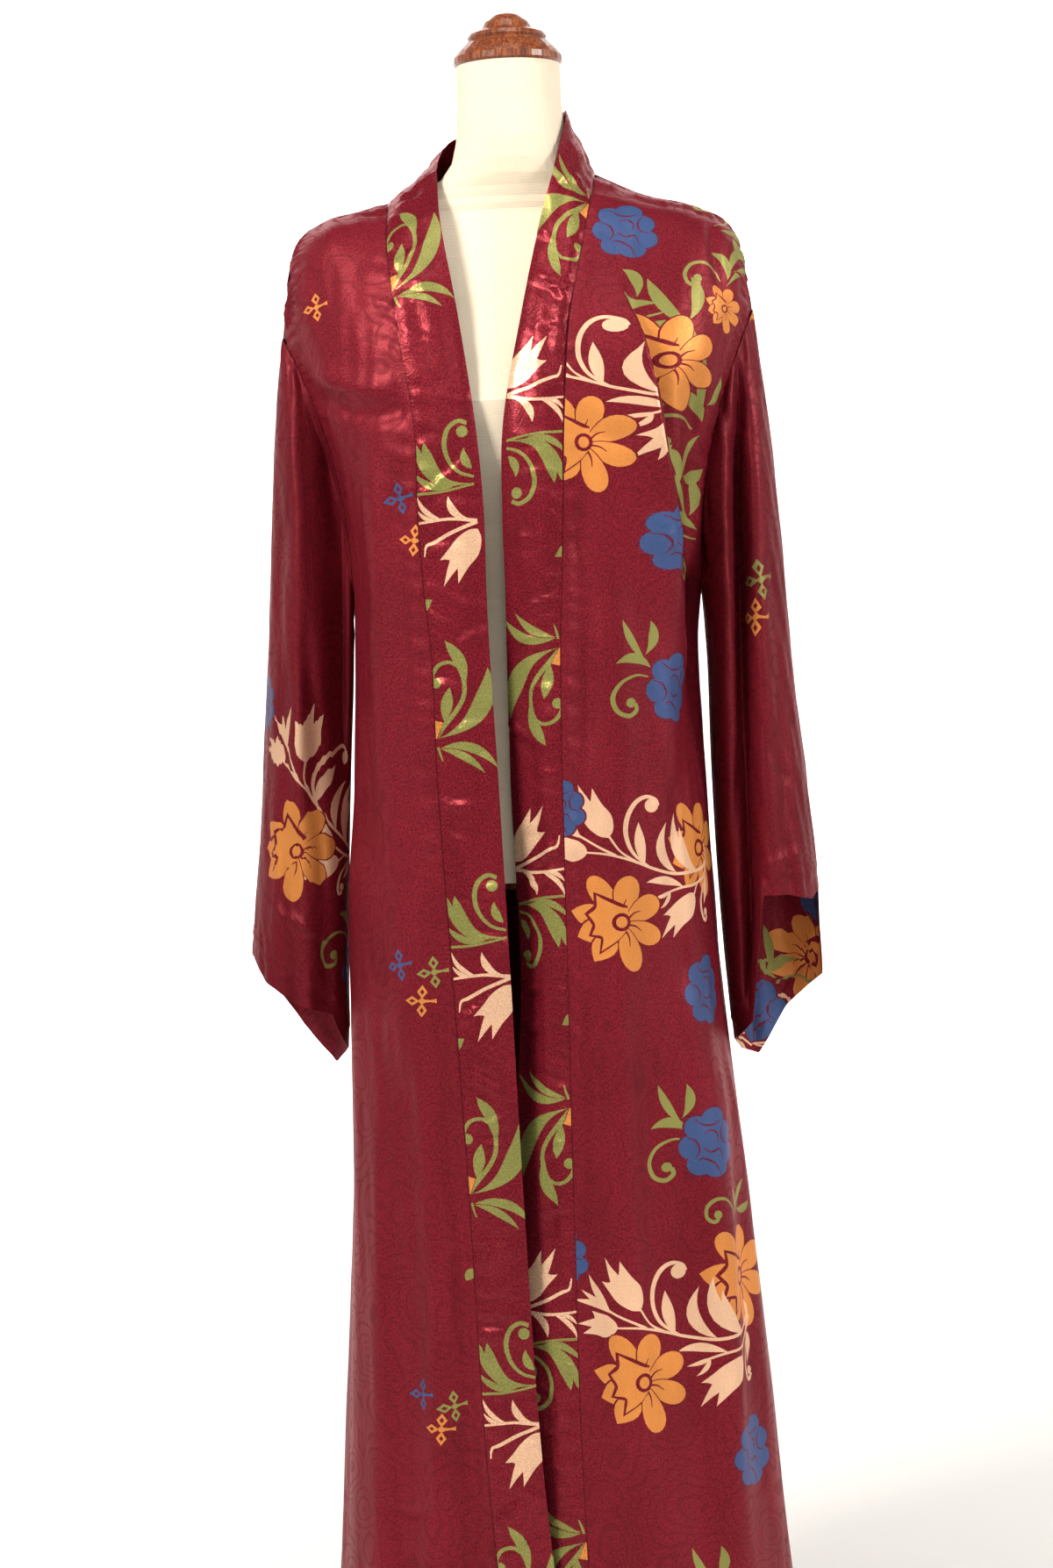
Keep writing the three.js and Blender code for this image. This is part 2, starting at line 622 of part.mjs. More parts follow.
const base = turned([
  [BASE_RADIUS - 2, 0], [BASE_RADIUS, 2], [BASE_RADIUS, 12], [BASE_RADIUS - 4, 16],
  [BASE_RADIUS - 26, 18.5], [70, 22], [36, 25], [30, BASE_HEIGHT], [POLE_RADIUS + 2, BASE_HEIGHT],
], 40);

// ---- assembly ------------------------------------------------------------
const frontLeft = frontGrid('left');
const frontRight = frontGrid('right');
const back = backGrid();
const band = bandGrid(frontLeft, frontRight, back);
const always = () => true;
const never = () => false;
const sheets = [
  {
    name: 'robe_front_left', grid: frontLeft, loop: false, turn: 1,
    sewn: { first: false, last: true, start: always, end: always },
  },
  {
    name: 'robe_front_right', grid: frontRight, loop: false, turn: -1,
    sewn: { first: false, last: true, start: always, end: always },
  },
  {
    name: 'robe_back', grid: back, loop: false, turn: -1,
    sewn: { first: false, last: true, start: always, end: always },
  },
  {
    name: 'robe_sleeve_left', grid: sleeveGrid('left'), loop: true, turn: 1,
    sewn: { first: true, last: false, start: never, end: never },
  },
  {
    name: 'robe_sleeve_right', grid: sleeveGrid('right'), loop: true, turn: -1,
    sewn: { first: true, last: false, start: never, end: never },
  },
  {
    name: 'robe_neck_band', grid: band, loop: false, turn: 1,
    sewn: { first: false, last: false, start: always, end: never },
  },
];
shareNormals(sheets);

const cloth = new THREE.MeshStandardMaterial({ color: 0x7a1730, roughness: 0.4 });
const linen = new THREE.MeshStandardMaterial({ color: 0xe9e2d2, roughness: 0.9 });
const wood = new THREE.MeshStandardMaterial({ color: 0x7a3b1e, roughness: 0.45 });
const group = new THREE.Group();

function add(name, geometry, material) {
  const mesh = new THREE.Mesh(geometry, material.clone());
  mesh.name = name;
  group.add(mesh);
}

for (const sheet of sheets) add(sheet.name, wall(sheet), cloth);
add('form_torso', formTorso(), linen);
add('form_neck_cap', neckCap, wood);
add('stand_socket', socket, wood);
add('stand_pole', pole, wood);
add('stand_base', base, wood);

export default group;
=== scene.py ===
import math

import bpy
import numpy as np
from mathutils import Matrix, Vector
from mathutils.geometry import delaunay_2d_cdt


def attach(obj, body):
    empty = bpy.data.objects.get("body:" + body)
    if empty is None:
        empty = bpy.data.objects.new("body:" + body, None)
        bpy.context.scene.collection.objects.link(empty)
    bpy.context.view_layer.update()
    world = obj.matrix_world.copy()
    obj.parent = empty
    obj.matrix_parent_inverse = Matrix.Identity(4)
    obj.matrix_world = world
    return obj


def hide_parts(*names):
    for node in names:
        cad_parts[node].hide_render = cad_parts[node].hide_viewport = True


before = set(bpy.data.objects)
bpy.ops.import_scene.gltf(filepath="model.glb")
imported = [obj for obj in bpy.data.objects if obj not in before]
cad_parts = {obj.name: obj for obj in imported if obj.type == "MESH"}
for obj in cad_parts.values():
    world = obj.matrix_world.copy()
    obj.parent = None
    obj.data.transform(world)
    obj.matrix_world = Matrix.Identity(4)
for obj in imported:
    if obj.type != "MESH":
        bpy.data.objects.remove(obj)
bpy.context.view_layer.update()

MM = 0.001
CLOTH = 1.6  # thickness of the cloth in the solids
REST = 1.5  # how far the cloth lies over the form
WALL = 0.9  # thickness of the visible cloth
UNIT = 0.82  # mm in a print unit, which is a pixel of the photo at the front of the robe

# ---------------------------------------------------------------- sections
# The same sections as the solids, in millimetres, x as a distance from the middle.
# outer x and z, inner x and z, depth in front and behind, bow
SLEEVE = {
    "left": [
        (227, 1340, 169, 1090, 40, 40, 17),
        (239, 1240, 173, 1010, 50, 46, 10),
        (247, 1120, 179, 925, 54, 48, 4),
        (256, 1000, 184, 840, 56, 50, 0),
        (267, 872, 188, 755, 58, 52, 0),
        (281, 748, 192, 652, 58, 54, 0),
    ],
    "right": [
        (226, 1350, 168, 1090, 40, 40, 17),
        (237, 1250, 171, 1010, 52, 46, 10),
        (246, 1120, 171, 920, 56, 48, 4),
        (252, 1000, 173, 820, 58, 50, 0),
        (262, 890, 177, 730, 60, 52, 0),
        (270, 792, 183, 646, 60, 56, 0),
    ],
}
# share of the way round, rise, shift
CUFF = {
    ("left", 1): [(0, 0, 0), (0.15, -10, 0), (0.5, 0, 0), (0.85, 22, 0), (1, 0, 0)],
    ("left", -1): [(0, 0, 0), (0.15, -14, 2), (0.5, -30, 0), (0.85, -32, 0), (1, 0, 0)],
    ("right", 1): [(0, 0, 0), (0.1, 4, 0), (0.4, 54, 0), (0.66, 92, 0), (0.82, -6, 0), (1, 0, 0)],
    ("right", -1): [(0, 0, 0), (0.1, -74, 12), (0.4, -62, 4), (0.7, -64, 0), (0.9, -28, 0), (1, 0, 0)],
}
# x, first and last ring, depth, width, face
SLEEVE_FOLDS = {
    "left": [(236, 0.6, 5, 7, 10, 1), (212, 1.5, 5, 8, 11, 1), (222, 0.8, 5, 8, 13, -1)],
    "right": [(203, 0.15, 4.6, 30, 8.5, 1), (236, 1.5, 5, 5, 9, 1), (216, 0.8, 5, 9, 13, -1)],
}
ARMHOLE_SHARES = [1, 0.72, 0.45, 0.2, 0.08, 0.03, 0]
# A section is a row of points x, y, z. Those up to the armhole are level, at these heights,
# and give x and y alone.
LEVELS = (90, 290, 520, 720, 900, 1020, 1090)
FRONT = {
    "left": [
        [(222, 18), (214, -68), (178, -122), (120, -146), (59, -153)],
        [(208, 15), (200, -62), (162, -118), (118, -140), (72, -148)],
        [(191, 15), (184, -58), (152, -112), (116, -134), (78, -142)],
        [(184, 12), (177, -54), (147, -108), (116, -130), (85, -138)],
        [(176, 8), (170, -51), (145, -104), (118, -126), (92, -134)],
        [(170, 4), (165, -50), (144, -102), (119, -124), (93, -132)],
        [(169, 0), (163, -50), (143, -101), (120, -123), (98, -131)],
        [(174, -34, 1160), (164, -64, 1153), (145, -103, 1156), (122, -122, 1160), (101, -130, 1165)],
        [(187, -40, 1227), (170, -74, 1218), (150, -103, 1228), (126, -120, 1238), (101, -128, 1243)],
        [(207, -30, 1290), (187, -68, 1300), (161, -93, 1318), (136, -106, 1325), (113, -113, 1330)],
        [(220, -17, 1322), (205, -42, 1368), (174, -63, 1390), (148, -73, 1398), (121, -79, 1405)],
        [(224, -8, 1332), (211, -20, 1405), (182, -38, 1431), (151, -39, 1441), (121, -42, 1446)],
        [(227, 0, 1340), (213, 3, 1424), (184, 9, 1451), (152, 10, 1459.5), (121, 10, 1466.5)],
    ],
    "right": [
        [(220, -16), (208, -76), (156, -128), (86, -150), (22, -155)],
        [(207, -22), (194, -76), (144, -125), (80, -145), (18, -150)],
        [(186, -32), (173, -78), (131, -121), (76, -139), (19.5, -144)],
        [(169, -36), (150, -84), (112, -119), (69, -134), (22, -139)],
        [(164, -26), (150, -71), (118, -111), (72, -130), (24, -135)],
        [(161, -14), (155, -59), (124, -106), (78, -127), (27, -133)],
        [(168, 0), (161, -52), (132, -103), (84, -125), (31, -132)],
        [(173, -34, 1163), (163, -64, 1153), (137, -103, 1156), (89, -124, 1160), (35, -131, 1165)],
        [(186, -40, 1233), (170, -74, 1218), (143, -104, 1228), (95, -122, 1238), (38.5, -129, 1243)],
        [(206, -30, 1298), (187, -66, 1304), (156, -92, 1320), (108, -108, 1328), (47, -115, 1335)],
        [(219, -17, 1332), (204, -42, 1372), (171, -62, 1392), (122, -73, 1402), (63, -80, 1410)],
        [(223, -9, 1342), (210, -23, 1408), (173, -37, 1433), (125, -40, 1446), (74, -48, 1458)],
        [(226, 0, 1350), (212, 3, 1426), (172, 9, 1453.5), (127, 10, 1465.5), (81, 10, 1486.5)],
    ],
}
BACK = {
    "left": [
        [(212, 78), (175, 118), (132, 136), (84, 144)],
        [(197, 72), (164, 110), (125, 128), (80, 136)],
        [(181, 66), (153, 103), (118, 120), (76, 127)],
        [(174, 60), (147, 97), (114, 114), (74, 121)],
        [(167, 56), (142, 93), (111, 110), (74, 117)],
        [(161, 52), (138, 90), (110, 106), (74, 112)],
        [(159, 52), (138, 89), (112, 104), (78, 110)],
        [(163, 64, 1153), (141, 92, 1156), (116, 103, 1160), (84, 108, 1165)],
        [(170, 74, 1218), (148, 95, 1228), (124, 103, 1238), (92, 107, 1243)],
        [(187, 68, 1302), (163, 88, 1318), (137, 99, 1328), (104, 104, 1336)],
        [(205, 42, 1368), (177, 62, 1390), (150, 73, 1401), (116, 82, 1411)],
        [(211, 24, 1405), (182, 42, 1430), (151, 48, 1440), (119, 54, 1447)],
        [(213, 3, 1424), (184, 9, 1451), (152, 10, 1459.5), (121, 10, 1466.5)],
    ],
    "right": [
        [(217, 62), (178, 112), (132, 134), (84, 143)],
        [(205, 54), (169, 104), (125, 126), (80, 135)],
        [(187, 46), (157, 96), (118, 118), (76, 126)],
        [(170, 36), (146, 86), (112, 110), (74, 119)],
        [(163, 40), (141, 85), (110, 107), (74, 116)],
        [(160, 46), (138, 88), (108, 105), (72, 111)],
        [(159, 52), (138, 89), (108, 104), (70, 110)],
        [(163, 64, 1153), (141, 92, 1156), (110, 103, 1160), (70, 108, 1165)],
        [(170, 74, 1218), (147, 95, 1228), (113, 103, 1238), (72, 107, 1243)],
        [(187, 68, 1304), (160, 88, 1320), (121, 99, 1330), (76, 105, 1340)],
        [(204, 42, 1372), (173, 62, 1392), (127, 75, 1404), (80, 84, 1416)],
        [(210, 24, 1408), (173, 42, 1433), (127, 50, 1447), (81, 54, 1458)],
        [(212, 3, 1426), (172, 9, 1453.5), (127, 10, 1465.5), (81, 10, 1486.5)],
    ],
}
CENTRE_BACK = [
    (-2, 148), (-2, 139), (-3, 130), (-3, 124), (-4, 120),
    (-5, 115), (-6, 112), (-7, 110, 1165), (-9, 109, 1245), (-12, 107, 1345),
    (-15, 94, 1420), (-17, 82, 1455), (-18, 73, 1480),
]
NECK_SEAM = {"left": (78, 54, 1476), "right": (43, 54, 1484)}
# x and z low, x and z high, rise, width
FOLDS = {
    "front_left": [
        (-186, 90, -172, 1000, 7, 16), (-150, 90, -150, 1060, -6, 13),
        (-118, 90, -126, 900, 6, 18), (-84, 90, -100, 700, -5, 14),
        (-150, 700, -178, 1190, 4, 11),
    ],
    "front_right": [
        (163, 1010, 93, 1390, 9, 12), (174, 1030, 112, 1390, -9, 10),
        (168, 90, 140, 960, 7, 18), (128, 90, 112, 900, -6, 16),
        (78, 90, 66, 900, 6, 20), (44, 90, 42, 1120, -4, 12),
    ],
    "back": [
        (-150, 90, -120, 1180, 7, 20), (-104, 90, -84, 1100, -7, 18),
        (-46, 90, -34, 1250, 6, 20), (12, 90, 8, 1200, -6, 18),
        (60, 90, 44, 1250, 7, 20), (112, 90, 88, 1120, -7, 18),
        (160, 90, 128, 1150, 6, 18),
    ],
}
BAND_EDGE = {
    "left": [
        (-5, -160), (-20, -155), (-27, -149), (-31, -144), (-35, -139),
        (-38.5, -136), (-39.5, -134), (-39, -132, 1165), (-44, -128, 1245),
        (-56, -110, 1344), (-69, -74, 1430), (-72, -38, 1474), (-70, 2, 1506), (-54, 38, 1530),
    ],
    "right": [
        (-38, -128), (-41, -122), (-36, -113), (-22, -105), (-24, -108),
        (-23, -112), (-22, -117), (-22, -121, 1165), (-18, -122, 1245),
        (3, -98, 1346), (24, -68, 1435), (38, -54, 1482), (54, -8, 1543), (45, 37, 1548),
    ],
}
BAND_CENTRE = (-5, 60, 1544)
BAND_BULGE = {"left": 3, "right": 6}
# z, half width, depth in front and behind, power of the oval, from the shoulders to the neck
FORM = np.array([
    (1370, 172, 75, 94, 2.4), (1405, 192, 58, 84, 2.2), (1430, 197, 44, 70, 2.1),
    (1441, 188, 39, 62, 2), (1448, 172, 36, 58, 2), (1452, 157, 35, 56, 2), (1458, 132, 36, 54, 2),
    (1464, 110, 36, 52, 2), (1474, 86, 39, 51, 2), (1485, 69, 44, 50, 2), (1500, 58, 48, 50, 2),
    (1520, 53, 50, 50, 2),
])


def heightened(table):
    """The table's points as x, y, z, with the heights of the level sections filled in."""
    level = np.array(table[: len(LEVELS)], float)
    heights = (np.zeros(level[..., :1].T.shape) + LEVELS).T
    return np.concatenate([np.concatenate([level, heights], -1), table[len(LEVELS) :]])


FRONT, BACK, BAND_EDGE = ({k: heightened(v) for k, v in t.items()} for t in (FRONT, BACK, BAND_EDGE))
CENTRE_BACK = heightened(CENTRE_BACK)


# ------------------------------------------------------------------ curves
def curve(points, t):
    """Catmull-Rom through evenly spaced rows of points (first axis) at positions t."""
    p = np.asarray(points, float)
    t = np.asarray(t, float)
    last = len(p) - 1
    full = np.concatenate([[2 * p[0] - p[1]], p, [2 * p[-1] - p[-2]]])
    i = np.clip(np.floor(t).astype(int), 0, last - 1)
    f = (t - i).reshape(t.shape + (1,) * (p.ndim - 1))
    a, b, c, d = full[i], full[i + 1], full[i + 2], full[i + 3]
    square = f**2 * (a - 2.5 * b + 2 * c - 0.5 * d)
    return b + 0.5 * f * (c - a) + square + f**3 * (1.5 * (b - c) + 0.5 * (d - a))


def smooth(low, high, x):
    """Rises from 0 at low to 1 at high, without a corner."""
    f = np.clip((np.asarray(x, float) - low) / (high - low), 0, 1)
    return f * f * (3 - 2 * f)


def spread(first, counts):
    """Positions that step through the sections from first on, counts[i] steps in each."""
    out = [np.linspace(first + i, first + i + 1, n, endpoint=False) for i, n in enumerate(counts)]
    return np.append(np.concatenate(out), first + len(counts))


ARMPIT = len(LEVELS) - 1  # the section where the armhole starts
TOP = len(CENTRE_BACK) - 1  # the section along the shoulder
SKIRT_ROWS = spread(0, [40, 46, 40, 36, 24, 14])
CHEST_ROWS = spread(ARMPIT, [14, 16, 16, 16, 10, 12])
ROWS = np.concatenate([SKIRT_ROWS[:-1], CHEST_ROWS])
FRONT_COLUMNS = spread(0, [14, 13, 11, 12])
NECK_COLUMNS = spread(4, [7, 7])[1:]


def ring_points(side, section, share, face):
    """Points of a sleeve ring; section, share and face are arrays of one shape."""
    outx, outz, inx, inz, front, back, bow = np.moveaxis(curve(SLEEVE[side], section), -1, 0)
    turn = np.sin(np.pi * np.clip(share, 0, 1))
    depth = np.where(face > 0, front, back) * np.maximum(turn, 0) ** 0.55
    edge = smooth(2.6, 5, section)
    rise, shift = np.zeros_like(share), np.zeros_like(share)
    for sign in (1, -1):
        table = np.array(CUFF[side, sign])
        here = face == sign
        rise = np.where(here, np.interp(share, table[:, 0], table[:, 1]), rise)
        shift = np.where(here, np.interp(share, table[:, 0], table[:, 2]), shift)
    x = outx + (inx - outx) * share - bow * turn + edge * shift
    z = outz + (inz - outz) * share + edge * rise
    y = -face * depth
    for at, first, last, sink, width, sign in SLEEVE_FOLDS[side]:
        along = smooth(first, first + 0.8, section) * (1 - smooth(last, last + 0.4, section))
        fold = sign * sink * along * np.exp(-(((x - at) / width) ** 2)) * np.minimum(1, 2 * turn)
        y = y + np.where(face == sign, fold, 0)
    return np.stack([-x if side == "left" else x, y, z], -1)


def armhole_shares(rows):
    """How far down the armhole each row of the chest meets it."""
    return np.interp(rows - ARMPIT, range(len(ARMHOLE_SHARES)), ARMHOLE_SHARES)


SHOULDER_LOW, LAID_FROM, NECK_HIGH, STEP = 1381, 1390, 1520, 0.5  # heights on the form


def form_top(x, y, grown):
    """Height of the grown form over each x, y, or 0 beside it."""
    top = np.zeros(x.shape)
    for z in np.arange(SHOULDER_LOW, NECK_HIGH + STEP, STEP):
        half, front, back, power = (np.interp(z, FORM[:, 0], FORM[:, i]) for i in (1, 2, 3, 4))
        depth = np.where(y < 0, front, back) + grown
        inside = (np.abs(x) / (half + grown)) ** power + (np.abs(y) / depth) ** power < 1
        top = np.where(inside, z + grown, top)
    return top


def laid(p):
    """Points raised onto the shoulders of the form where they would sink into them."""
    lowest = np.where(p[..., 2] < LAID_FROM, 0, form_top(p[..., 0], p[..., 1], CLOTH + REST))
    return np.concatenate([p[..., :2], np.maximum(p[..., 2], lowest)[..., None]], -1)


FADE = 220  # mm over which a fold fades out at its upper end


def fold_rise(name, x, z):
    """How far the long folds of a panel stand out at x, z."""
    rise = np.zeros(x.shape)
    for lowx, lowz, highx, highz, height, width in FOLDS[name]:
        f = (z - lowz) / (highz - lowz)
        away = (x - lowx - f * (highx - lowx)) / width
        fade = smooth(lowz, lowz + 90, z) if lowz > LEVELS[0] else 1
        rise += height * np.exp(-(away**2)) * fade * (1 - smooth(highz - FADE, highz, z))
    return rise


def sided(side, p):
    """Turns distances from the middle into x."""
    return p * (-1, 1, 1) if side == "left" else p


def outer_edge(side, face):
    """The side seam and, above it, the edge of the armhole in front or behind."""
    seam = sided(side, curve(FRONT[side][: len(LEVELS), 0], SKIRT_ROWS[:-1]))
    share = armhole_shares(CHEST_ROWS)
    arm = ring_points(side, np.zeros(share.shape), share, np.full(share.shape, face))
    return np.concatenate([seam, arm])


def net_grid(side, net, columns, face):
    """Surface through a net of sections, with its outer column on the shared edge."""
    lines = np.stack([curve(section, columns) for section in net])
    p = sided(side, curve(lines, ROWS))
    pull = outer_edge(side, face) - p[:, 0]
    weight = 1 - smooth(0, 1.2, columns)
    return p + pull[:, None] * weight[None, :, None]


def front_grid(side):
    p = net_grid(side, FRONT[side], FRONT_COLUMNS, 1)
    fade = smooth(0, 0.9, FRONT_COLUMNS) * smooth(0, 0.5, 4 - FRONT_COLUMNS + 0.2)
    p[..., 1] -= fold_rise("front_" + side, p[..., 0], p[..., 2]) * fade
    return laid(p)


def back_half(side):
    columns = np.concatenate([FRONT_COLUMNS, NECK_COLUMNS])
    net = []
    for i, section in enumerate(BACK[side]):
        inner = sided(side, CENTRE_BACK[i])
        neck = np.array(NECK_SEAM[side], float) if i == TOP else (section[3] + inner) / 2 + (0, 1.5, 0)
        beyond = np.array([2 * inner[0] - neck[0], neck[1], neck[2]])
        edge = FRONT[side][i][0] * (1, -1 if i > ARMPIT else 1, 1)
        net.append([edge, *section, neck, inner, beyond])
    p = net_grid(side, net, columns, -1)
    p[-1, : len(FRONT_COLUMNS)] = sided(side, curve(FRONT[side][TOP], FRONT_COLUMNS))
    fade = smooth(0, 0.9, columns)
    p[..., 1] += fold_rise("back", p[..., 0], p[..., 2]) * fade
    return laid(p)


def back_grid():
    left, right = back_half("left"), back_half("right")
    left[:, -1] = (left[:, -1] + right[:, -1]) / 2
    return np.concatenate([left, right[:, -2::-1]], 1)


RINGS = spread(0, [22, 24, 24, 24, 24])


def sleeve_grid(side):
    share = armhole_shares(CHEST_ROWS)
    shares = np.concatenate([share, share[-2::-1]])
    faces = np.concatenate([np.ones(len(share)), -np.ones(len(share) - 1)])
    section, around = np.meshgrid(RINGS, shares, indexing="ij")
    return ring_points(side, section, around, np.broadcast_to(faces, around.shape))


def band_half(side, front, back):
    """The neck band from one hem to the middle of the neck, from its seam to its free edge."""
    half = back[-1] if side == "left" else back[-1, ::-1]
    first = len(FRONT_COLUMNS)
    seam = np.concatenate([front[:, -1], half[first : first + len(NECK_COLUMNS)]])
    at = np.concatenate([ROWS, TOP + (NECK_COLUMNS - 4)])
    free = curve([*BAND_EDGE[side], BAND_CENTRE], at)
    share = np.linspace(0, 1, 13)[None, :, None]
    p = seam[:, None] * (1 - share) + free[:, None] * share
    bulge = BAND_BULGE[side] * 4 * share[..., 0] * (1 - share[..., 0])
    p[..., 1] -= bulge * (1 - smooth(1380, 1480, seam[:, 2]))[:, None]
    lifted = laid(p)
    lifted[:, 0] = seam
    return lifted


def band_grid(left, right, back):
    up, down = band_half("left", left, back), band_half("right", right, back)
    return np.concatenate([up, down[-2::-1]])


# ------------------------------------------------------------------ camera
FAR = 3.4  # metres from the camera to the pole
SEEN_HEIGHT = 1.519  # metres from the top to the foot of the picture, at the pole
SENSOR = 36
LENS = SENSOR * FAR / SEEN_HEIGHT
PIXELS = (1200, 1787)
CAMERA_X, CAMERA_Z, AIM_Z, ROLL = -0.0093, 1.03, 0.901, -2.25
CAMERA_PLACE = Vector((CAMERA_X, -FAR, CAMERA_Z))
CAMERA_LOOK = (Vector((CAMERA_X, 0, AIM_Z)) - CAMERA_PLACE).to_track_quat("-Z", "Y").to_matrix()
CAMERA_LOOK = CAMERA_LOOK @ Matrix.Rotation(math.radians(ROLL), 3, "Z")


def placed(name, data):
    """A new object in the scene."""
    ob = bpy.data.objects.new(name, data)
    bpy.context.scene.collection.objects.link(ob)
    return ob


camera = placed("camera", bpy.data.cameras.new("camera"))
camera.data.lens = LENS
camera.location = CAMERA_PLACE
camera.rotation_euler = CAMERA_LOOK.to_euler()
bpy.context.scene.camera = camera


def picture(p):
    """Where points in mm fall in the picture, in its pixels."""
    q = (p * MM - np.array(CAMERA_PLACE)) @ np.array(CAMERA_LOOK)
    scale = LENS / SENSOR * PIXELS[1] / -q[..., 2]
    return np.stack([PIXELS[0] / 2 + scale * q[..., 0], PIXELS[1] / 2 - scale * q[..., 1]], -1)


# ------------------------------------------------------------ cloth panels
def unit(v):
    """Vectors of length 1."""
    return v / np.maximum(np.linalg.norm(v, axis=-1, keepdims=True), 1e-9)


def grid_normals(p, turn):
    along = np.gradient(p, axis=1)
    up = np.gradient(p, axis=0)
    return unit(np.cross(along, up) * turn)


CHART_ZERO = 900  # height where a column's run along the cloth equals its height


def flat_map(p, middle, side_sign):
    """Cloth coordinates in mm: s across from the middle column, t up the column."""
    across = np.linalg.norm(np.diff(p[..., :2], axis=1), axis=-1)
    s = np.concatenate([np.zeros((len(p), 1)), np.cumsum(across, 1)], 1)
    s = s - s[:, middle : middle + 1]
    up = np.linalg.norm(np.diff(p, axis=0), axis=-1)
    t = np.concatenate([np.zeros((1, p.shape[1])), np.cumsum(up, 0)], 0)
    row = np.argmin(np.abs(p[:, :, 2] - CHART_ZERO), axis=0)
    t = t - t[row, np.arange(p.shape[1])] + CHART_ZERO
    return np.stack([s * side_sign + p[:, middle : middle + 1, 0], t], -1)


def sample(grid, i, j):
    """Bilinear value of a grid at column position i and row position j."""
    i0 = np.clip(np.floor(i).astype(int), 0, grid.shape[1] - 2)
    j0 = np.clip(np.floor(j).astype(int), 0, grid.shape[0] - 2)
    f, g = (i - i0)[:, None], (j - j0)[:, None]
    low = grid[j0, i0] * (1 - f) + grid[j0, i0 + 1] * f
    high = grid[j0 + 1, i0] * (1 - f) + grid[j0 + 1, i0 + 1] * f
    return low * (1 - g) + high * g


GROUND = (0.170, 0.0098, 0.0200)
INSIDE_TONE = (0.8, 0.8, 0.8, 1)  # the wrong side of the cloth is duller


def cloth_piece(name, node, p, normals, uv, mat, prints):
    """A printed cloth wall: the grid is cut along the outlines of the print."""
    rows, cols = p.shape[:2]
    jj, ii = np.mgrid[0:rows, 0:cols]
    points = [np.stack([ii.ravel(), jj.ravel()], 1).astype(float)]
    edges, count = [], rows * cols
    for colour, outline in prints:
        n = len(outline)
        points.append(outline)
        edges += [(count + a, count + (a + 1) % n) for a in range(n)]
        count += n
    out = delaunay_2d_cdt([Vector(q) for q in np.concatenate(points)], edges, [], 0, 1e-5)
    spots = np.array([tuple(v) for v in out[0]])
    faces = np.array([f for f in out[2] if len(f) == 3])
    # slender triangles along the straight edges of the grid hold no cloth
    a, b = spots[faces[:, 1]] - spots[faces[:, 0]], spots[faces[:, 2]] - spots[faces[:, 0]]
    spread_out = np.abs(a[:, 0] * b[:, 1] - a[:, 1] * b[:, 0])
    longest = np.maximum(np.hypot(*a.T), np.hypot(*b.T))
    faces = faces[spread_out > 1e-4 * longest]
    spots = np.clip(spots, 0, (cols - 1, rows - 1))
    centres = spots[faces].mean(1)
    colours = np.tile(np.array([*GROUND, 1.0]), (len(faces), 1))
    for colour, outline in prints:
        low, high = outline.min(0), outline.max(0)
        near = np.where(np.all((centres > low) & (centres < high), 1))[0]
        if len(near):
            hit = near[inside(centres[near], outline)]
            colours[hit, :3] = colour
    i, j = spots[:, 0], spots[:, 1]
    place = sample(p, i, j)
    normal = unit(sample(normals, i, j))
    # the winding of the triangles follows the normals
    tri = place[faces]
    facing = np.cross(tri[:, 1] - tri[:, 0], tri[:, 2] - tri[:, 0])
    turned = np.einsum("ij,ij->i", facing, normal[faces[:, 0]]) < 0
    faces[turned] = faces[turned][:, ::-1]
    n = len(place)
    pairs = np.concatenate([faces[:, [0, 1]], faces[:, [1, 2]], faces[:, [2, 0]]])
    _, first, counts = np.unique(np.sort(pairs, 1), axis=0, return_index=True, return_counts=True)
    a, b = pairs[first[counts == 1]].T
    walls = np.concatenate([np.stack([b, a, a + n], 1), np.stack([b, a + n, b + n], 1)])
    all_faces = np.concatenate([faces, faces[:, ::-1] + n, walls])
    rim = np.full((len(walls), 4), (*GROUND, 1.0))
    tones = np.concatenate([colours, colours * INSIDE_TONE, rim])
    verts = np.concatenate([place, place - normal * WALL]) * MM
    mesh = bpy.data.meshes.new(name)
    mesh.from_pydata(verts.tolist(), [], all_faces.tolist())
    both = np.tile(sample(uv, i, j) * MM, (2, 1))
    layer = mesh.uv_layers.new(name="weave")
    layer.data.foreach_set("uv", both[all_faces.ravel()].ravel().astype(np.float32))
    tint = mesh.color_attributes.new("print", "FLOAT_COLOR", "CORNER")
    tint.data.foreach_set("color", np.repeat(tones, 3, 0).ravel().astype(np.float32))
    mesh.shade_smooth()
    mesh.normals_split_custom_set_from_vertices(np.concatenate([normal, -normal]).tolist())
    mesh.materials.append(mat)
    ob = placed(name, mesh)
    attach(ob, "root")
    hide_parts(node)
    return ob


def inside(points, outline):
    """Even-odd test of points against one closed outline."""
    x, y = points[:, 0, None], points[:, 1, None]
    ax, ay = outline[:, 0], outline[:, 1]
    bx, by = np.roll(ax, -1), np.roll(ay, -1)
    spans = (ay > y) != (by > y)
    with np.errstate(divide="ignore", invalid="ignore"):
        cross = ax + (y - ay) * (bx - ax) / (by - ay)
    return (spans & (x < cross)).sum(1) % 2 == 1


# ------------------------------------------------------------------- print
# Motifs are drawn in print units of 0.82 mm, x to the right and y up.
CREAM = (0.78, 0.50, 0.33)
ORANGE = (0.68, 0.26, 0.065)
GREEN = (0.25, 0.26, 0.075)
BLUE = (0.045, 0.092, 0.235)
DUSK = (0.13, 0.015, 0.035)  # the soft rim of the blue roses


def polar(angle, r):
    """x and y of a point at an angle in degrees and a distance r."""
    return r * math.cos(math.radians(angle)), r * math.sin(math.radians(angle))


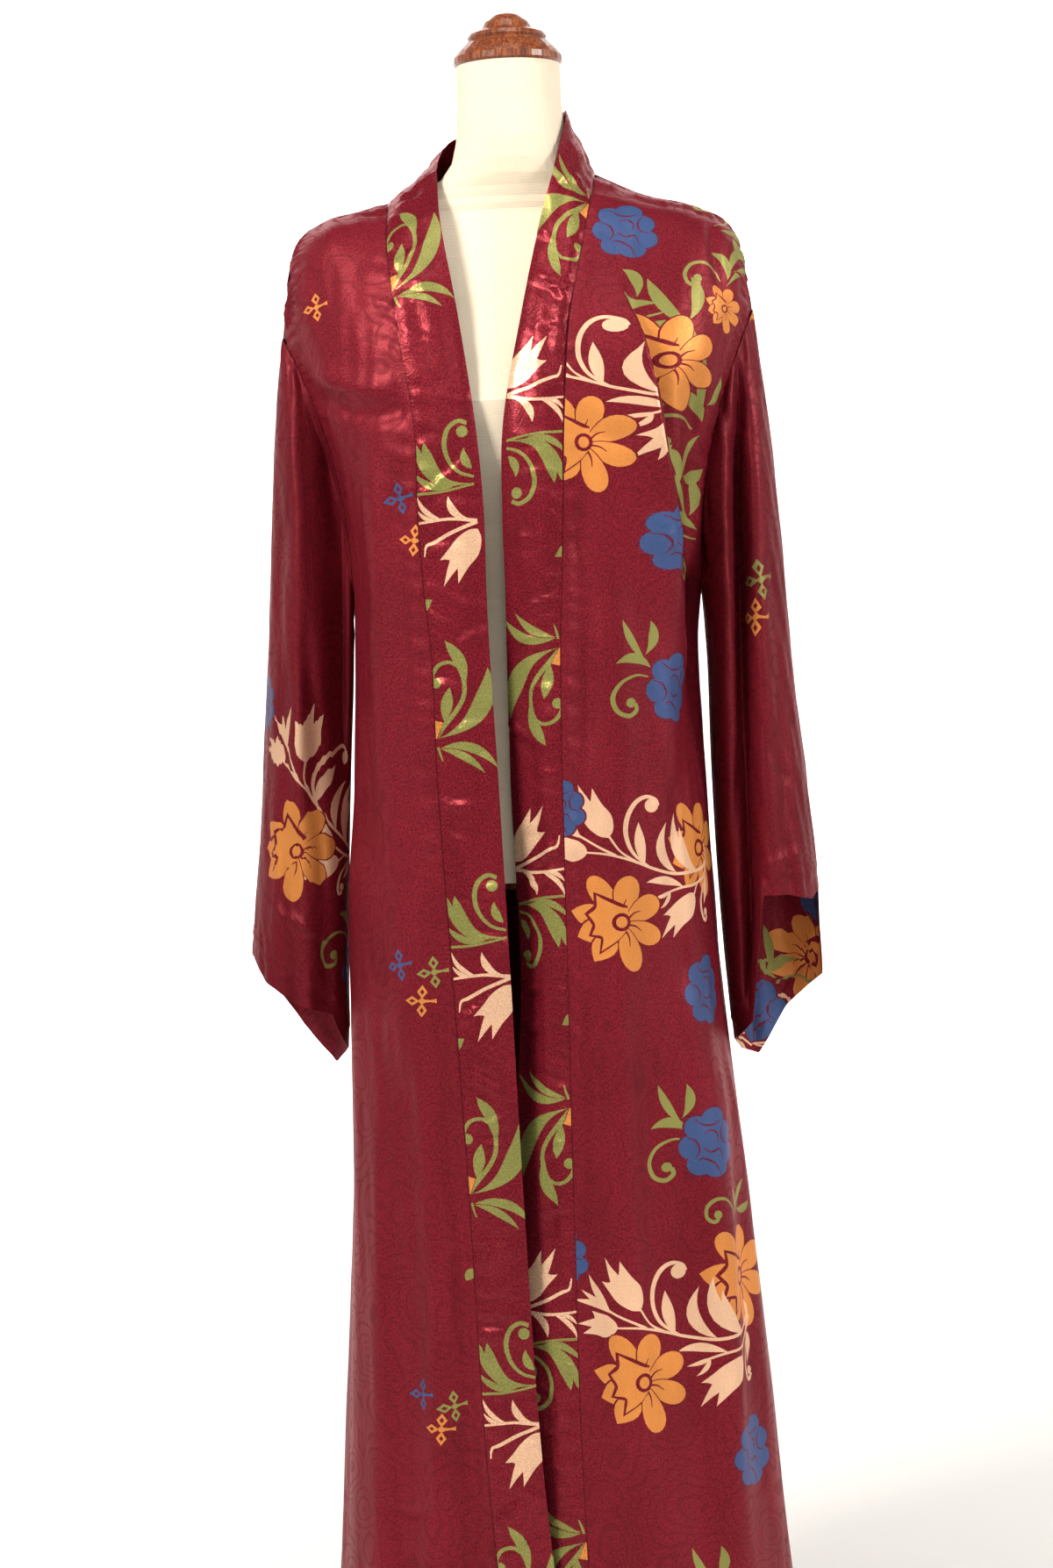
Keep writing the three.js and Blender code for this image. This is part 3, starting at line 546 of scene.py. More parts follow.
def line_through(points, n=5):
    """A smooth line, n steps from point to point."""
    p = np.asarray(points, float)
    return curve(p, np.linspace(0, len(p) - 1, n * (len(p) - 1) + 1))


def leaf(tone, base, tip, width, bend=0.0, widest=0.42, n=10):
    """A pointed leaf whose middle line bows sideways by bend times its length."""
    a, b = np.array(base, float), np.array(tip, float)
    f = np.linspace(0, 1, n)[:, None]
    across = np.array([a[1] - b[1], b[0] - a[0]])
    middle = a + (b - a) * f + across * bend * 4 * f * (1 - f)
    along = unit(np.gradient(middle, axis=0))
    side = np.stack([-along[:, 1], along[:, 0]], 1)
    half = width / 2 * np.sin(np.pi * f ** (math.log(0.5) / math.log(widest)))
    return tone, np.concatenate([middle + side * half, (middle - side * half)[-2:0:-1]])


def stroke(tone, points, widths, n=5):
    """A line of changing width through points."""
    middle = line_through(points, n)
    along = unit(np.gradient(middle, axis=0))
    side = np.stack([-along[:, 1], along[:, 0]], 1)
    at = np.linspace(0, 1, len(widths))
    half = np.interp(np.linspace(0, 1, len(middle)), at, widths)[:, None] / 2
    return tone, np.concatenate([middle + side * half, (middle - side * half)[::-1]])


def disc(tone, x, y, rx, ry=None, n=14):
    a = np.arange(n) * 2 * np.pi / n
    return tone, np.stack([x + rx * np.cos(a), y + (ry or rx) * np.sin(a)], 1)


def corners(tone, *curves):
    """A closed outline of smooth curves that meet at corners."""
    return tone, np.concatenate([line_through(c, 4)[:-1] for c in curves])


def bulb(tone, base, tip, width, flip=1):
    """A tulip head with a long middle point, a side point and a barb."""
    a, b = np.array(base, float), np.array(tip, float)
    along, across = b - a, unit(np.array([a[1] - b[1], b[0] - a[0]])) * width * flip
    shape = [
        [(0, 0), (0.1, 0.3), (0.32, 0.5), (0.56, 0.42), (0.85, 0.4)],
        [(0.85, 0.4), (0.72, 0.2), (0.66, 0.1)],
        [(0.66, 0.1), (0.8, 0.05), (1, 0)],
        [(1, 0), (0.8, -0.16), (0.62, -0.28)],
        [(0.62, -0.28), (0.64, -0.42), (0.7, -0.6)],
        [(0.7, -0.6), (0.5, -0.52), (0.28, -0.46), (0.09, -0.26), (0, 0)],
    ]
    _, flat = corners(tone, *shape)
    return tone, a + flat[:, :1] * along + flat[:, 1:] * across


def petal(tone, angle, length, width, start=3.0):
    a = np.linspace(0, 2 * np.pi, 22, endpoint=False)
    x = start + (length - start) * (1 - np.cos(a)) / 2
    y = width / 2 * np.sin(a) * np.abs(np.sin(a / 2)) ** 0.8
    c, s = polar(angle, 1)
    return tone, np.stack([x * c - y * s, x * s + y * c], 1)


def ray(angle, near, far):
    """A dark line along a petal."""
    c, s = polar(angle, 1)
    mid, bow = (near + far) / 2, 2.0
    points = [(near * c, near * s), (mid * c - bow * s, mid * s + bow * c), (far * c, far * s)]
    return stroke(GROUND, points, [2.4, 1.8, 0.8], 3)


def flower():
    """Eight petals round an eye: five round ones, and three pointed behind a ruffled fan."""
    out = []
    for angle, length, width in ((163, 53, 25), (198, 47, 27), (237, 52, 26)):
        out.append(leaf(GROUND, (0, 0), polar(angle, length + 3), width + 4, 0, 0.6))
        out.append(leaf(ORANGE, (0, 0), polar(angle, length), width, 0, 0.62))
    for angle, length, width in ((119, 61, 29), (78, 53, 35), (27, 50, 34), (-27, 51, 31), (-75, 59, 31)):
        out.append(petal(GROUND, angle, length + 1.6, width + 3.4, 1.5))
        out.append(petal(ORANGE, angle, length, width))
        out.append(ray(angle, 8, length * 0.5))
    fan = [
        (6, 16), (-8, 24), (-24, 32), (-24, 18), (-33, 10), (-26, -2),
        (-30, -13), (-18, -16), (-20, -32), (-4, -20), (4, -10),
    ]
    out.append((GROUND, np.array(fan) * 1.12))
    ruffles = [fan[k : k + 3] for k in range(2, 10, 2)]
    out.append(corners(ORANGE, [fan[0], (-2, 18), fan[2]], *ruffles, [fan[10], (8, 2), fan[0]]))
    out += [disc(GROUND, 0, 0, 9.5, 10.5), disc(ORANGE, 0, 0, 5.6, 6.6)]
    return out


BALL = (-92, 69)  # the ball of the branch's tall scroll, as it is drawn


def branch():
    """Cream tulips and curled leaves on forked stems; the origin is the ball of the tall scroll."""
    t = CREAM
    out = [
        stroke(t, [(0, 7), (-12, -4), (-33, -8), (-59, -9.5), (-85, -4), (-107, 4), (-138, 13), (-160, 15)],
               [5, 4, 3.5, 3, 2]),
        stroke(t, [(-108, 4), (-126, 16), (-138, 34)], [3.4, 2, 2.4]),
        stroke(t, [(-131, 12), (-152, 24), (-171, 36)], [3, 2.4, 2.4]),
        bulb(t, (-159, 15), (-201, 21), 25),
        bulb(t, (-138, 32), (-170, 92), 28, -1),
        leaf(t, (-166, 31), (-188, 74), 7.5, 0.05),
        leaf(t, (-166, 32), (-196, 58), 6.5, 0.02),
        leaf(t, (-164, 31), (-205, 48), 7.5, -0.06),
        stroke(t, [(-90, -3), (-112, 14), (-121, 34), (-120, 55), (-111, 72), (-99, 79), (-88, 76),
                   (-85, 69)], [2, 4.5, 5.5, 5, 4, 5]),
        disc(t, *BALL, 8),
        leaf(t, (-98, 0), (-107, 50), 13, 0.04, 0.5),
        leaf(t, (-57, -8), (-72, 50), 13, 0.24, 0.45),
        leaf(t, (-24, -8), (-58, 60), 16, 0.2, 0.42),
        leaf(t, (-28, -6), (-51, 44), 9, 0.1, 0.5),
        leaf(t, (-2, 4), (-8, 24), 5, -0.1),
        stroke(t, [(1, 4), (-9, -14), (-29, -23), (-51, -26), (-72, -33)], [4, 3.5, 3, 2.2]),
        leaf(t, (-48, -25), (-96, -19), 10, -0.1, 0.5),
        leaf(t, (-62, -29), (-87, -37), 5, 0.06),
        leaf(t, (-64, -30), (-78, -49), 5, 0.12),
        stroke(t, [(-16, -16), (-24, -24), (-29, -34)], [2.6, 2, 2.4]),
        bulb(t, (-29, -33), (-75, -83), 28, 1),
        leaf(t, (-4, -12), (-9, -46), 10, 0.06, 0.4),
        stroke(t, [(-10, -22), (-16, -43), (-13, -58), (-6, -65), (-1, -59)], [2, 4, 4.5, 4]),
        disc(t, -5, -55, 4.6),
    ]
    return [(tone, q - BALL) for tone, q in out]


def sprig():
    """Three slim green leaves over a scroll; the origin is where the leaves meet."""
    t = GREEN
    return [
        leaf(t, (0, 0), (-29, 55), 9, 0.06, 0.6),
        leaf(t, (-5, 14), (2, 53), 11, -0.16, 0.55),
        leaf(t, (1, -1), (-38, 5), 12, -0.22, 0.5),
        stroke(t, [(-2, -11), (-16, -9), (-33, -17), (-42, -33), (-38, -49), (-26, -55), (-17, -49),
                   (-18, -41)], [1.5, 3.5, 5, 5, 4.5]),
        disc(t, -23, -40, 5.5),
    ]


def rose():
    """A loose blue blossom of rounded lobes with a soft rim."""
    lobes = [(0, 16, 18, 15), (17, 10, 15, 14), (20, -12, 14, 13), (6, -27, 15, 12), (-12, -22, 14, 13),
             (-21, -2, 13, 14), (-14, 20, 13, 13), (6, 29, 14, 11), (0, 0, 20, 20)]
    rim = 2.4
    out = [disc(DUSK, x, y, rx + rim, ry + rim, 18) for x, y, rx, ry in lobes]
    out += [disc(BLUE, x, y, rx, ry, 18) for x, y, rx, ry in lobes]
    for points in (
        [(-26, 10), (-16, 5), (-12, -6), (-17, -15)], [(-16, 30), (-6, 22), (6, 21), (14, 25)],
        [(20, 22), (14, 12), (16, 0), (26, -4)], [(-6, 12), (2, 15), (9, 9), (8, 0)],
        [(10, -38), (4, -24), (-8, -16), (-14, -18)], [(-8, -4), (0, -10), (10, -8), (14, -20)],
    ):
        out.append(stroke(DUSK, points, [0.8, 2.4, 0.8], 4))
    return out


def cross(tone, x=0, y=0, turn=0):
    """Small diamonds with open middles, set round a knot with a short stalk."""
    out = []
    for angle in (90 + turn, 182 + turn, 270 + turn):
        c, s = polar(angle, 1)
        for size, colour in ((1, tone), (0.42, GROUND)):
            d = np.array([(-8, 0), (0, 5.4), (8, 0), (0, -5.4)]) * size + (10.5, 0)
            out.append((colour, np.stack([d[:, 0] * c - d[:, 1] * s + x, d[:, 0] * s + d[:, 1] * c + y], 1)))
    dx, dy = polar(4 + turn, 15)
    out.append(stroke(tone, [(x, y), (x + dx * 0.6, y + dy * 0.6), (x + dx, y + dy)], [4, 2.2, 5], 2))
    out.append(disc(tone, x, y, 3.4, n=8))
    return out


# The neck band carries its own run of motifs, drawn from the seam (x = 0) to the free edge.
def band_leaves():
    t = GREEN
    return [
        stroke(t, [(-3, -9), (16, -8), (35, -6), (66, 1)], [3, 3, 2.5, 3]),
        leaf(t, (42, -2), (-4, 17), 8, 0.16, 0.5),
        corners(t, [(66, 1), (49, 0), (32, -2), (18, 5), (7, 16), (0, 31), (-4, 52)],
                [(-4, 52), (3, 45), (7, 37)], [(7, 37), (8, 44), (10, 50)],
                [(10, 50), (18, 37), (25, 22), (34, 9), (48, 3), (66, 1)]),
        stroke(t, [(66, 9), (50, 14), (38, 27), (33, 46), (38, 64), (50, 72), (60, 69)], [3, 4, 5.5, 5, 4.5]),
        disc(t, 54, 60, 6.5),
        leaf(t, (64, 18), (55, 42), 10, 0.16, 0.45),
    ]


def band_tulip():
    t = CREAM
    return [
        stroke(t, [(68, 1), (36, 4), (0, 0)], [4.5, 3.4, 2.6]),
        leaf(t, (30, 3), (0, 32), 6, 0.16, 0.5),
        leaf(t, (24, 3), (0, 15), 5, 0.16, 0.5),
        leaf(t, (62, 3), (36, 30), 9, 0.22, 0.6),
        stroke(t, [(68, 0), (39, -11), (17, -22), (8, -26), (5, -38)], [4, 4, 4, 3, 1.5]),
        bulb(t, (68, -8), (24, -72), 31, 1),
    ]


def band_scroll():
    t = GREEN
    return [
        corners(t, [(3, 1), (14, 14), (27, 29), (37, 46), (39, 62), (37, 78), (31, 90), (18, 111)],
                [(18, 111), (20, 100), (26, 86), (32, 72), (34, 58), (31, 45), (22, 31), (10, 18), (3, 1)]),
        leaf(t, (38, 64), (17, 112), 11, -0.12, 0.5),
        stroke(t, [(33, 80), (21, 87), (8, 84), (0, 74), (-1, 66)], [3.5, 4, 4.5, 5]),
        disc(t, 4, 64, 6),
        leaf(t, (12, 19), (20, 59), 14, 0.02, 0.5),
        leaf(t, (3, 1), (64, 80), 22, -0.2, 0.62, 14),
        (ORANGE, np.array([(-2, 22), (10, 19), (2, 1), (-2, 2)])),
        leaf(t, (6, -10), (72, -36), 11, 0.18, 0.5, 12),
        leaf(t, (6, -11), (56, -40), 9, 0.1, 0.5),
        stroke(t, [(3, -9), (5, -17), (8, -25)], [3, 2.6, 1.4], 2),
    ]


MOTIFS = {
    "flower": flower(), "branch": branch(), "sprig": sprig(), "rose": rose(),
    "orange_cross": cross(ORANGE), "blue_cross": cross(BLUE), "green_cross": cross(GREEN),
    "three": cross(BLUE, 40, -8) + cross(GREEN, 24, -40, 8) + cross(ORANGE, turn=16),
    "leaves": band_leaves(), "tulip": band_tulip(),
    "scroll": band_scroll(), "tip": [leaf(GREEN, (-6, -8), (9, 6), 11, 0.1)],
}


STRIDE = 12  # the longest step of the search, in cells of the grid


def locate(chart, target, i, j, steps=14):
    """Grid positions (column, row) whose chart values are the targets, by Newton's method."""
    for _ in range(steps):
        error = target - sample(chart, i, j)
        a = sample(chart, i + 0.5, j) - sample(chart, i - 0.5, j)
        b = sample(chart, i, j + 0.5) - sample(chart, i, j - 0.5)
        det = a[:, 0] * b[:, 1] - a[:, 1] * b[:, 0]
        det = np.where(np.abs(det) < 1e-6, 1e-6, det)
        i = i + np.clip((error[:, 0] * b[:, 1] - error[:, 1] * b[:, 0]) / det, -STRIDE, STRIDE)
        j = j + np.clip((a[:, 0] * error[:, 1] - a[:, 1] * error[:, 0]) / det, -STRIDE, STRIDE)
    return i, j


def clipped(outline, inner):
    """The part of a closed outline where inner, one value a point, is above 0."""
    kept = []
    for a, b, da, db in zip(outline, np.roll(outline, -1, 0), inner, np.roll(inner, -1)):
        if da >= 0:
            kept.append(a)
        if (da >= 0) != (db >= 0):
            kept.append(a + (b - a) * da / (da - db))
    return np.array(kept).reshape(-1, 2)


def trimmed(outline, low, high):
    """The part of a closed outline inside a rectangle."""
    for axis in (0, 1):
        for limit, sign in ((low[axis], 1), (high[axis], -1)):
            outline = clipped(outline, (outline[:, axis] - limit) * sign) if len(outline) else outline
    return outline


def one_side(outline, a, b, sign):
    """The part of a closed outline on one side of the line from a to b."""
    d = b - a
    return clipped(outline, ((outline[:, 0] - a[0]) * d[1] - (outline[:, 1] - a[1]) * d[0]) * sign)


OFF_THE_CLOTH = 25  # mm; an outline that ends further from its place is left out


def stamp(prints, motif, chart, i, j, turn=0.0, size=1.0, wide=1.0, columns=None, cut=None):
    """Adds a motif to a piece's prints, set at a grid position and drawn at true size in its chart."""
    c, s = polar(turn, 1)
    first, last = columns or (0, chart.shape[1] - 1)
    centre = sample(chart, np.array([i]), np.array([j]))
    for tone, outline in MOTIFS[motif]:
        x, y = outline[:, 0] * wide * UNIT * size, outline[:, 1] * UNIT * size
        target = centre + np.stack([x * c - y * s, x * s + y * c], 1)
        start = np.ones((2, len(target))) * [[i], [j]]
        spots = np.stack(locate(chart, target, *start), 1)
        if np.abs(sample(chart, *spots.T) - target).max() > OFF_THE_CLOTH:
            continue
        spots = trimmed(spots, (first, 0), (last, chart.shape[0] - 1))
        if cut is not None and len(spots):
            spots = one_side(spots, *cut)
        if len(spots) > 2:
            prints.append((tone, spots))


def nearest(chart, target, columns=None):
    """The grid position whose chart value is the target."""
    first, last = columns or (0, chart.shape[1] - 1)
    gap = ((chart[:, first : last + 1] - np.array(target)) ** 2).sum(-1)
    row, column = np.unravel_index(np.argmin(gap), gap.shape)
    start = np.array([column + first, row], float)
    i, j = locate(chart, np.array([target], float), start[:1], start[1:], 6)
    found = np.array([i[0], j[0]])
    return tuple(start if np.abs(found - start).max() > STRIDE else found)


# motif, picture x, y, turn, size, side of the lapped fold that shows it
FRONT_RIGHT_PRINT = [
    ("rose", 712, 262), ("sprig", 752, 346, 46, 1.15, 1), ("sprig", 794, 384, 8, 1.45, 1),
    ("sprig", 806, 480, -20, 1.2, 1), ("flower", 770, 412, 4, 1.05, 1),
    ("sprig", 786, 556, -52, 1.1, 1), ("sprig", 800, 600, 20, 1.1, 1), ("branch", 690, 373, 0, 1, -1),
    ("flower", 665, 504),
    ("rose", 760, 612, 10), ("sprig", 740, 760), ("rose", 765, 784),
    ("flower", 797, 966), ("branch", 742, 918, -3), ("flower", 707, 1051), ("sprig", 822, 262, -125),
    ("sprig", 830, 318, -50, 0.9), ("flower", 826, 352, 0, 0.5),
    ("rose", 806, 1128), ("sprig", 783, 1288), ("sprig", 836, 1386, -70, 0.8), ("rose", 808, 1303),
    ("flower", 842, 1454, 4, 1.1), ("branch", 774, 1449, 0, 1.04), ("flower", 735, 1576, 0, 1.04),
    ("rose", 857, 1654), ("sprig", 822, 1815), ("rose", 858, 1836),
    ("rose", 637, 922, 0, 0.8), ("rose", 640, 1434, 0, 0.8),
]
FRONT_LEFT_PRINT = [
    ("orange_cross", 360, 350), ("blue_cross", 455, 568, 10), ("orange_cross", 472, 616, -8),
    ("blue_cross", 457, 1100, 8), ("green_cross", 495, 1108, 4), ("orange_cross", 481, 1141, -4),
    ("blue_cross", 479, 1590), ("green_cross", 517, 1602, 6), ("orange_cross", 503, 1629, -4),
    ("tip", 536, 1452),
]
SLEEVE_LEFT_PRINT = [
    ("rose", 303, 792, 0, 0.8), ("branch", 392, 864, -38), ("flower", 338, 970, -22),
    ("rose", 398, 1104), ("sprig", 396, 1062, -30),
]
SLEEVE_RIGHT_PRINT = [
    ("green_cross", 867, 662, 8, 1.3), ("orange_cross", 861, 702, -4, 1.2),
    ("sprig", 824, 268, -118, 1.2), ("sprig", 842, 322, -60, 0.9), ("flower", 852, 336, 0, 0.7),
]
CUFF_LINING_PRINT = [
    ("sprig", 903, 1058, 64), ("flower", 925, 1092, 10), ("branch", 884, 1140, 40, 0.9),
    ("rose", 858, 1150), ("rose", 932, 1022, 0, 0.9), ("sprig", 876, 1112, -20),
]
# the same run of motifs, across and up the cloth in mm, for what the picture hides
RUN = [
    ("rose", 60, 224), ("sprig", 35, 238), ("rose", 80, -64), ("flower", 98, 86),
    ("branch", 30, 108), ("flower", 0, 0), ("three", -196, 30),
]
REPEAT = 433  # mm up the cloth from one run to the next
# motif and picture height on the left half of the band, upwards, and on the right half, turned over
BAND_LEFT_PRINT = [
    ("scroll", 333), ("leaves", 555), ("tulip", 597), ("scroll", 843), ("leaves", 1071), ("tulip", 1116),
    ("scroll", 1362), ("leaves", 1580), ("tulip", 1625), ("scroll", 1850), ("tip", 690), ("tip", 1190),
]
BAND_RIGHT_PRINT = [
    ("scroll", 232), ("tulip", 452), ("leaves", 500), ("scroll", 737), ("tulip", 990), ("leaves", 1030),
    ("scroll", 1262), ("tulip", 1495), ("leaves", 1535), ("scroll", 1757), ("tip", 628), ("tip", 1162),
]
LAP_CUT = ((706, 330), (764, 590))  # the lapped fold from end to end, in the picture
PLAIN = (0, 1, 0)  # the turn, size and side of a row that leaves them out
RUN_TOLERANCE = 20  # mm; a motif of the run further from the cloth is left out


def stamp_all(prints, table, chart, p, columns=None, wide=1.0):
    """Places motifs by picture position."""
    seen = picture(p)
    a, b = (np.array(nearest(seen, spot, columns)) for spot in LAP_CUT)
    for row in table:
        motif, x, y, turn, size, side = (*row, *PLAIN[len(row) - 3 :])
        i, j = nearest(seen, (x, y), columns)
        stamp(prints, motif, chart, i, j, turn, size, wide, columns, (a, b, side) if side else None)


def stamp_run(prints, chart, places, columns=None):
    """Places the run of motifs at points of the cloth, where it reaches them."""
    for s, t in places:
        for motif, ds, dt in RUN:
            spot = nearest(chart, (s + ds, t + dt), columns)
            found = sample(chart, *np.array(spot)[:, None])[0]
            if np.abs(found - (s + ds, t + dt)).max() < RUN_TOLERANCE:
                stamp(prints, motif, chart, *spot, columns=columns)


# ------------------------------------------------------------------ relief
def waves(chart, seed, across, along):
    """A smooth random field of about unit height, long in one direction of the cloth."""
    rng = np.random.default_rng(seed)
    total, count = 0, 7
    for _ in range(count):
        kx = 2 * np.pi / across * rng.uniform(0.55, 1.5)
        ky = 2 * np.pi / along * rng.uniform(-1, 1)
        total = total + np.sin(chart[..., 0] * kx + chart[..., 1] * ky + rng.uniform(0, 6.3))
    return total / math.sqrt(count / 2)


def beside(seen, points):
    """Distance from a line in the picture, which side of it, and how far along it, from 0 to 1."""
    line = line_through(points, 6)
    best = np.full(seen.shape[:2], 1e9)
    signed, along = np.zeros(seen.shape[:2]), np.zeros(seen.shape[:2])
    n = len(line) - 1
    for k in range(n):
        a, d = line[k], line[k + 1] - line[k]
        f = np.clip(((seen - a) @ d) / (d @ d), 0, 1)
        off = seen - a - f[..., None] * d
        gap = np.hypot(off[..., 0], off[..., 1])
        closer = gap < best
        best = np.where(closer, gap, best)
        signed = np.where(closer, (off[..., 0] * d[1] - off[..., 1] * d[0]) / np.hypot(*d), signed)
        along = np.where(closer, (k + f) / n, along)
    return best, signed, along


def lapped(p, normals, points, width, tuck, lift):
    """Folds the cloth over itself along a line in the picture, its left side on top."""
    _, signed, along = beside(picture(p), points)
    u = signed * UNIT / width
    fade = smooth(0, 0.2, along) * (1 - smooth(0.7, 1, along))
    across = unit(np.gradient(p, axis=1))
    across = across * np.sign(across[..., :1])
    shift = -tuck * u * np.exp(-(u**2)) * width * fade
    rise = lift * fade * (0.5 - 0.5 * np.tanh(2 * u)) * np.exp(-((u / 2.6) ** 2))
    return p + across * shift[..., None] + normals * rise[..., None]


def crease_field(seen, table):
    """Soft ridges and troughs along lines in the picture: points, height, width on each side."""
    rise = np.zeros(seen.shape[:2])
    for points, height, wide, steep in table:
        best, signed, along = beside(seen, points)
        width = np.where(signed > 0, wide, steep)
        fade = smooth(0, 0.22, along) * (1 - smooth(0.78, 1, along))
        rise += height * np.exp(-((best / width) ** 2)) * fade
    return rise


def pucker(chart, away, seed, height, pitch=13, reach=8):
    """Gathers that run off a seam; away is the distance from it in mm."""
    rng = np.random.default_rng(seed)
    run = chart[..., 1] + chart[..., 0] * 0.3
    field = 0
    for k in range(5):
        field = field + np.sin(run * 2 * np.pi / (pitch * rng.uniform(0.6, 1.9)) + rng.uniform(0, 6.3))
    f = away / reach
    return height * field / 1.6 * f * np.exp(1 - f)


def seam_dip(away, depth, width=3.0):
    """A groove where a line of stitches pulls the cloth in."""
    return -depth * np.exp(-((away / width) ** 2))


DEEPER = 1.4  # the creases of the table are drawn this much deeper
# points in the picture, height in mm (below 0 a trough), width on the two sides in pixels
CREASES = {
    "front_left": [
        ([(345, 440), (400, 470), (450, 470), (480, 450)], -4.2, 17, 10),
        ([(352, 422), (400, 443), (455, 445)], 3.4, 15, 12),
        ([(415, 260), (405, 340), (398, 430)], -0.4, 12, 12),
        ([(350, 290), (362, 350), (384, 420)], -0.9, 11, 9),
        ([(412, 900), (428, 1200), (440, 1700)], 4.0, 14, 22),
        ([(455, 1180), (470, 1400), (480, 1780)], -3.8, 15, 12),
        ([(500, 1340), (508, 1480), (516, 1560), (520, 1660)], 4.4, 18, 14),
        ([(425, 1716), (470, 1726), (535, 1722)], -1.5, 7, 5),
        ([(422, 490), (428, 700), (434, 980)], 3.6, 15, 14),
        ([(452, 520), (456, 700), (462, 900)], -2.4, 12, 12),
    ],
    "front_right": [
        ([(806, 246), (815, 290), (822, 340)], -2.6, 6, 5),
        ([(752, 560), (770, 640), (782, 720), (786, 800)], 3.6, 7, 20),
        ([(796, 400), (800, 540), (802, 700), (800, 960)], -10.0, 8, 22),
        ([(762, 640), (764, 760), (756, 900)], 2.6, 16, 18),
        ([(655, 560), (668, 700), (672, 900)], -4.0, 9, 15),
        ([(640, 474), (700, 500), (735, 490)], -2.2, 14, 11),
        ([(700, 640), (712, 900), (722, 1200)], 3.6, 22, 18),
        ([(775, 860), (768, 1000), (790, 1160)], -3.4, 12, 14),
        ([(740, 1180), (748, 1420), (758, 1780)], -3.8, 19, 15),
        ([(690, 1250), (694, 1480), (700, 1780)], 3.4, 18, 18),
        ([(820, 1180), (832, 1400), (842, 1780)], 3.4, 14, 18),
        ([(655, 1560), (668, 1610), (676, 1690)], -1.6, 8, 8),
    ],
    "sleeve_left": [
        ([(303, 1036), (345, 1056), (390, 1078)], 3.6, 7, 4),
        ([(340, 560), (322, 640), (310, 760)], -1.2, 8, 8),
        ([(352, 700), (330, 800), (312, 900)], -1.2, 8, 8),
        ([(326, 330), (334, 520), (338, 760), (342, 960)], 6.0, 12, 20),
        ([(379, 350), (384, 480), (387, 700), (386, 990)], -18, 10, 25),
        ([(300, 1090), (345, 1120), (385, 1150)], -1.4, 5, 5),
        ([(330, 300), (322, 380), (330, 470)], -1.0, 8, 8),
    ],
    "sleeve_right": [
        ([(838, 356), (842, 520), (842, 780), (838, 1000)], -4.6, 7, 4.5),
        ([(824, 330), (826, 520), (828, 780), (824, 1000)], 3.4, 11, 11),
        ([(862, 380), (870, 620), (878, 860)], 2.4, 16, 12),
        ([(852, 560), (872, 640), (890, 700)], -1.1, 6, 6),
        ([(858, 800), (880, 860), (905, 900)], -1.1, 6, 6),
        ([(862, 420), (874, 470), (880, 540)], -0.9, 6, 6),
        ([(850, 1000), (880, 985), (925, 968)], 1.8, 7, 5),
        ([(812, 700), (814, 900), (820, 1100)], -1.4, 6, 6),
    ],
}


def moved(p, normals, rise):
    """Points raised along their normals."""
    return p + normals * rise[..., None]


def edge_gaps(chart):
    """Distances from the first and last columns and from the first and last rows."""
    s, t = chart[..., 0], chart[..., 1]
    return np.abs(s - s[:, :1]), np.abs(s - s[:, -1:]), np.abs(t - t[:1]), np.abs(t - t[-1:])


def turned_hem(away, line, height=0.7, dip=0.5):
    """A turned hem stands proud of the cloth up to its line of stitches, which pulls in."""
    return height * (1 - smooth(line - 1.5, line + 1, away)) + seam_dip(np.abs(away - line), dip, 2.5)


HEM_LINE, CUFF_LINE, STITCH_LINE = 21.5, 20.5, 20.5  # mm from the edge
ARM_LOW, ARM_HIGH = 1100, 1200  # heights between which the armhole's gathers begin
# the line along which the right front folds over itself, in the picture
LAP = [(703, 300), (722, 370), (741, 440), (752, 500), (764, 570), (778, 640), (790, 720)]


def front_relief(side, p, chart, normals):
    outer, inner, foot, top = edge_gaps(chart)
    if side == "right":
        p = lapped(p, normals, LAP, 19, 2.2, 12)
    skirt = 1 - smooth(650, 1050, p[..., 2])
    seed = 0 if side == "left" else 1
    rise = (0.45 + 1.1 * skirt) * waves(chart, 3 + seed, 80, 700) + 0.22 * waves(chart, 5 + seed, 24, 110)
    rise += DEEPER * crease_field(picture(p), CREASES["front_" + side])
    rise *= smooth(0, 22, outer) * smooth(0, 14, inner) * smooth(0, 16, top)
    arm = smooth(ARM_LOW, ARM_HIGH, p[..., 2])
    rise += pucker(chart, outer, 11, 0.9) * arm + pucker(chart, inner, 12, 0.55, 17, 7)
    rise += seam_dip(inner, 0.8) + pucker(chart[..., ::-1], top, 13, 0.8, 15, 9) + turned_hem(foot, HEM_LINE)
    return moved(p, normals, rise)


def back_relief(p, chart, normals):
    outer, inner, foot, top = edge_gaps(chart)
    rise = 1.2 * waves(chart, 21, 80, 650) + 0.35 * waves(chart, 22, 26, 120)
    rise *= smooth(0, 22, outer) * smooth(0, 22, inner) * smooth(0, 16, top)
    arm = smooth(ARM_LOW, ARM_HIGH, p[..., 2])
    rise += (pucker(chart, outer, 23, 0.9) + pucker(chart, inner, 24, 0.9)) * arm
    return moved(p, normals, rise + turned_hem(foot, HEM_LINE))


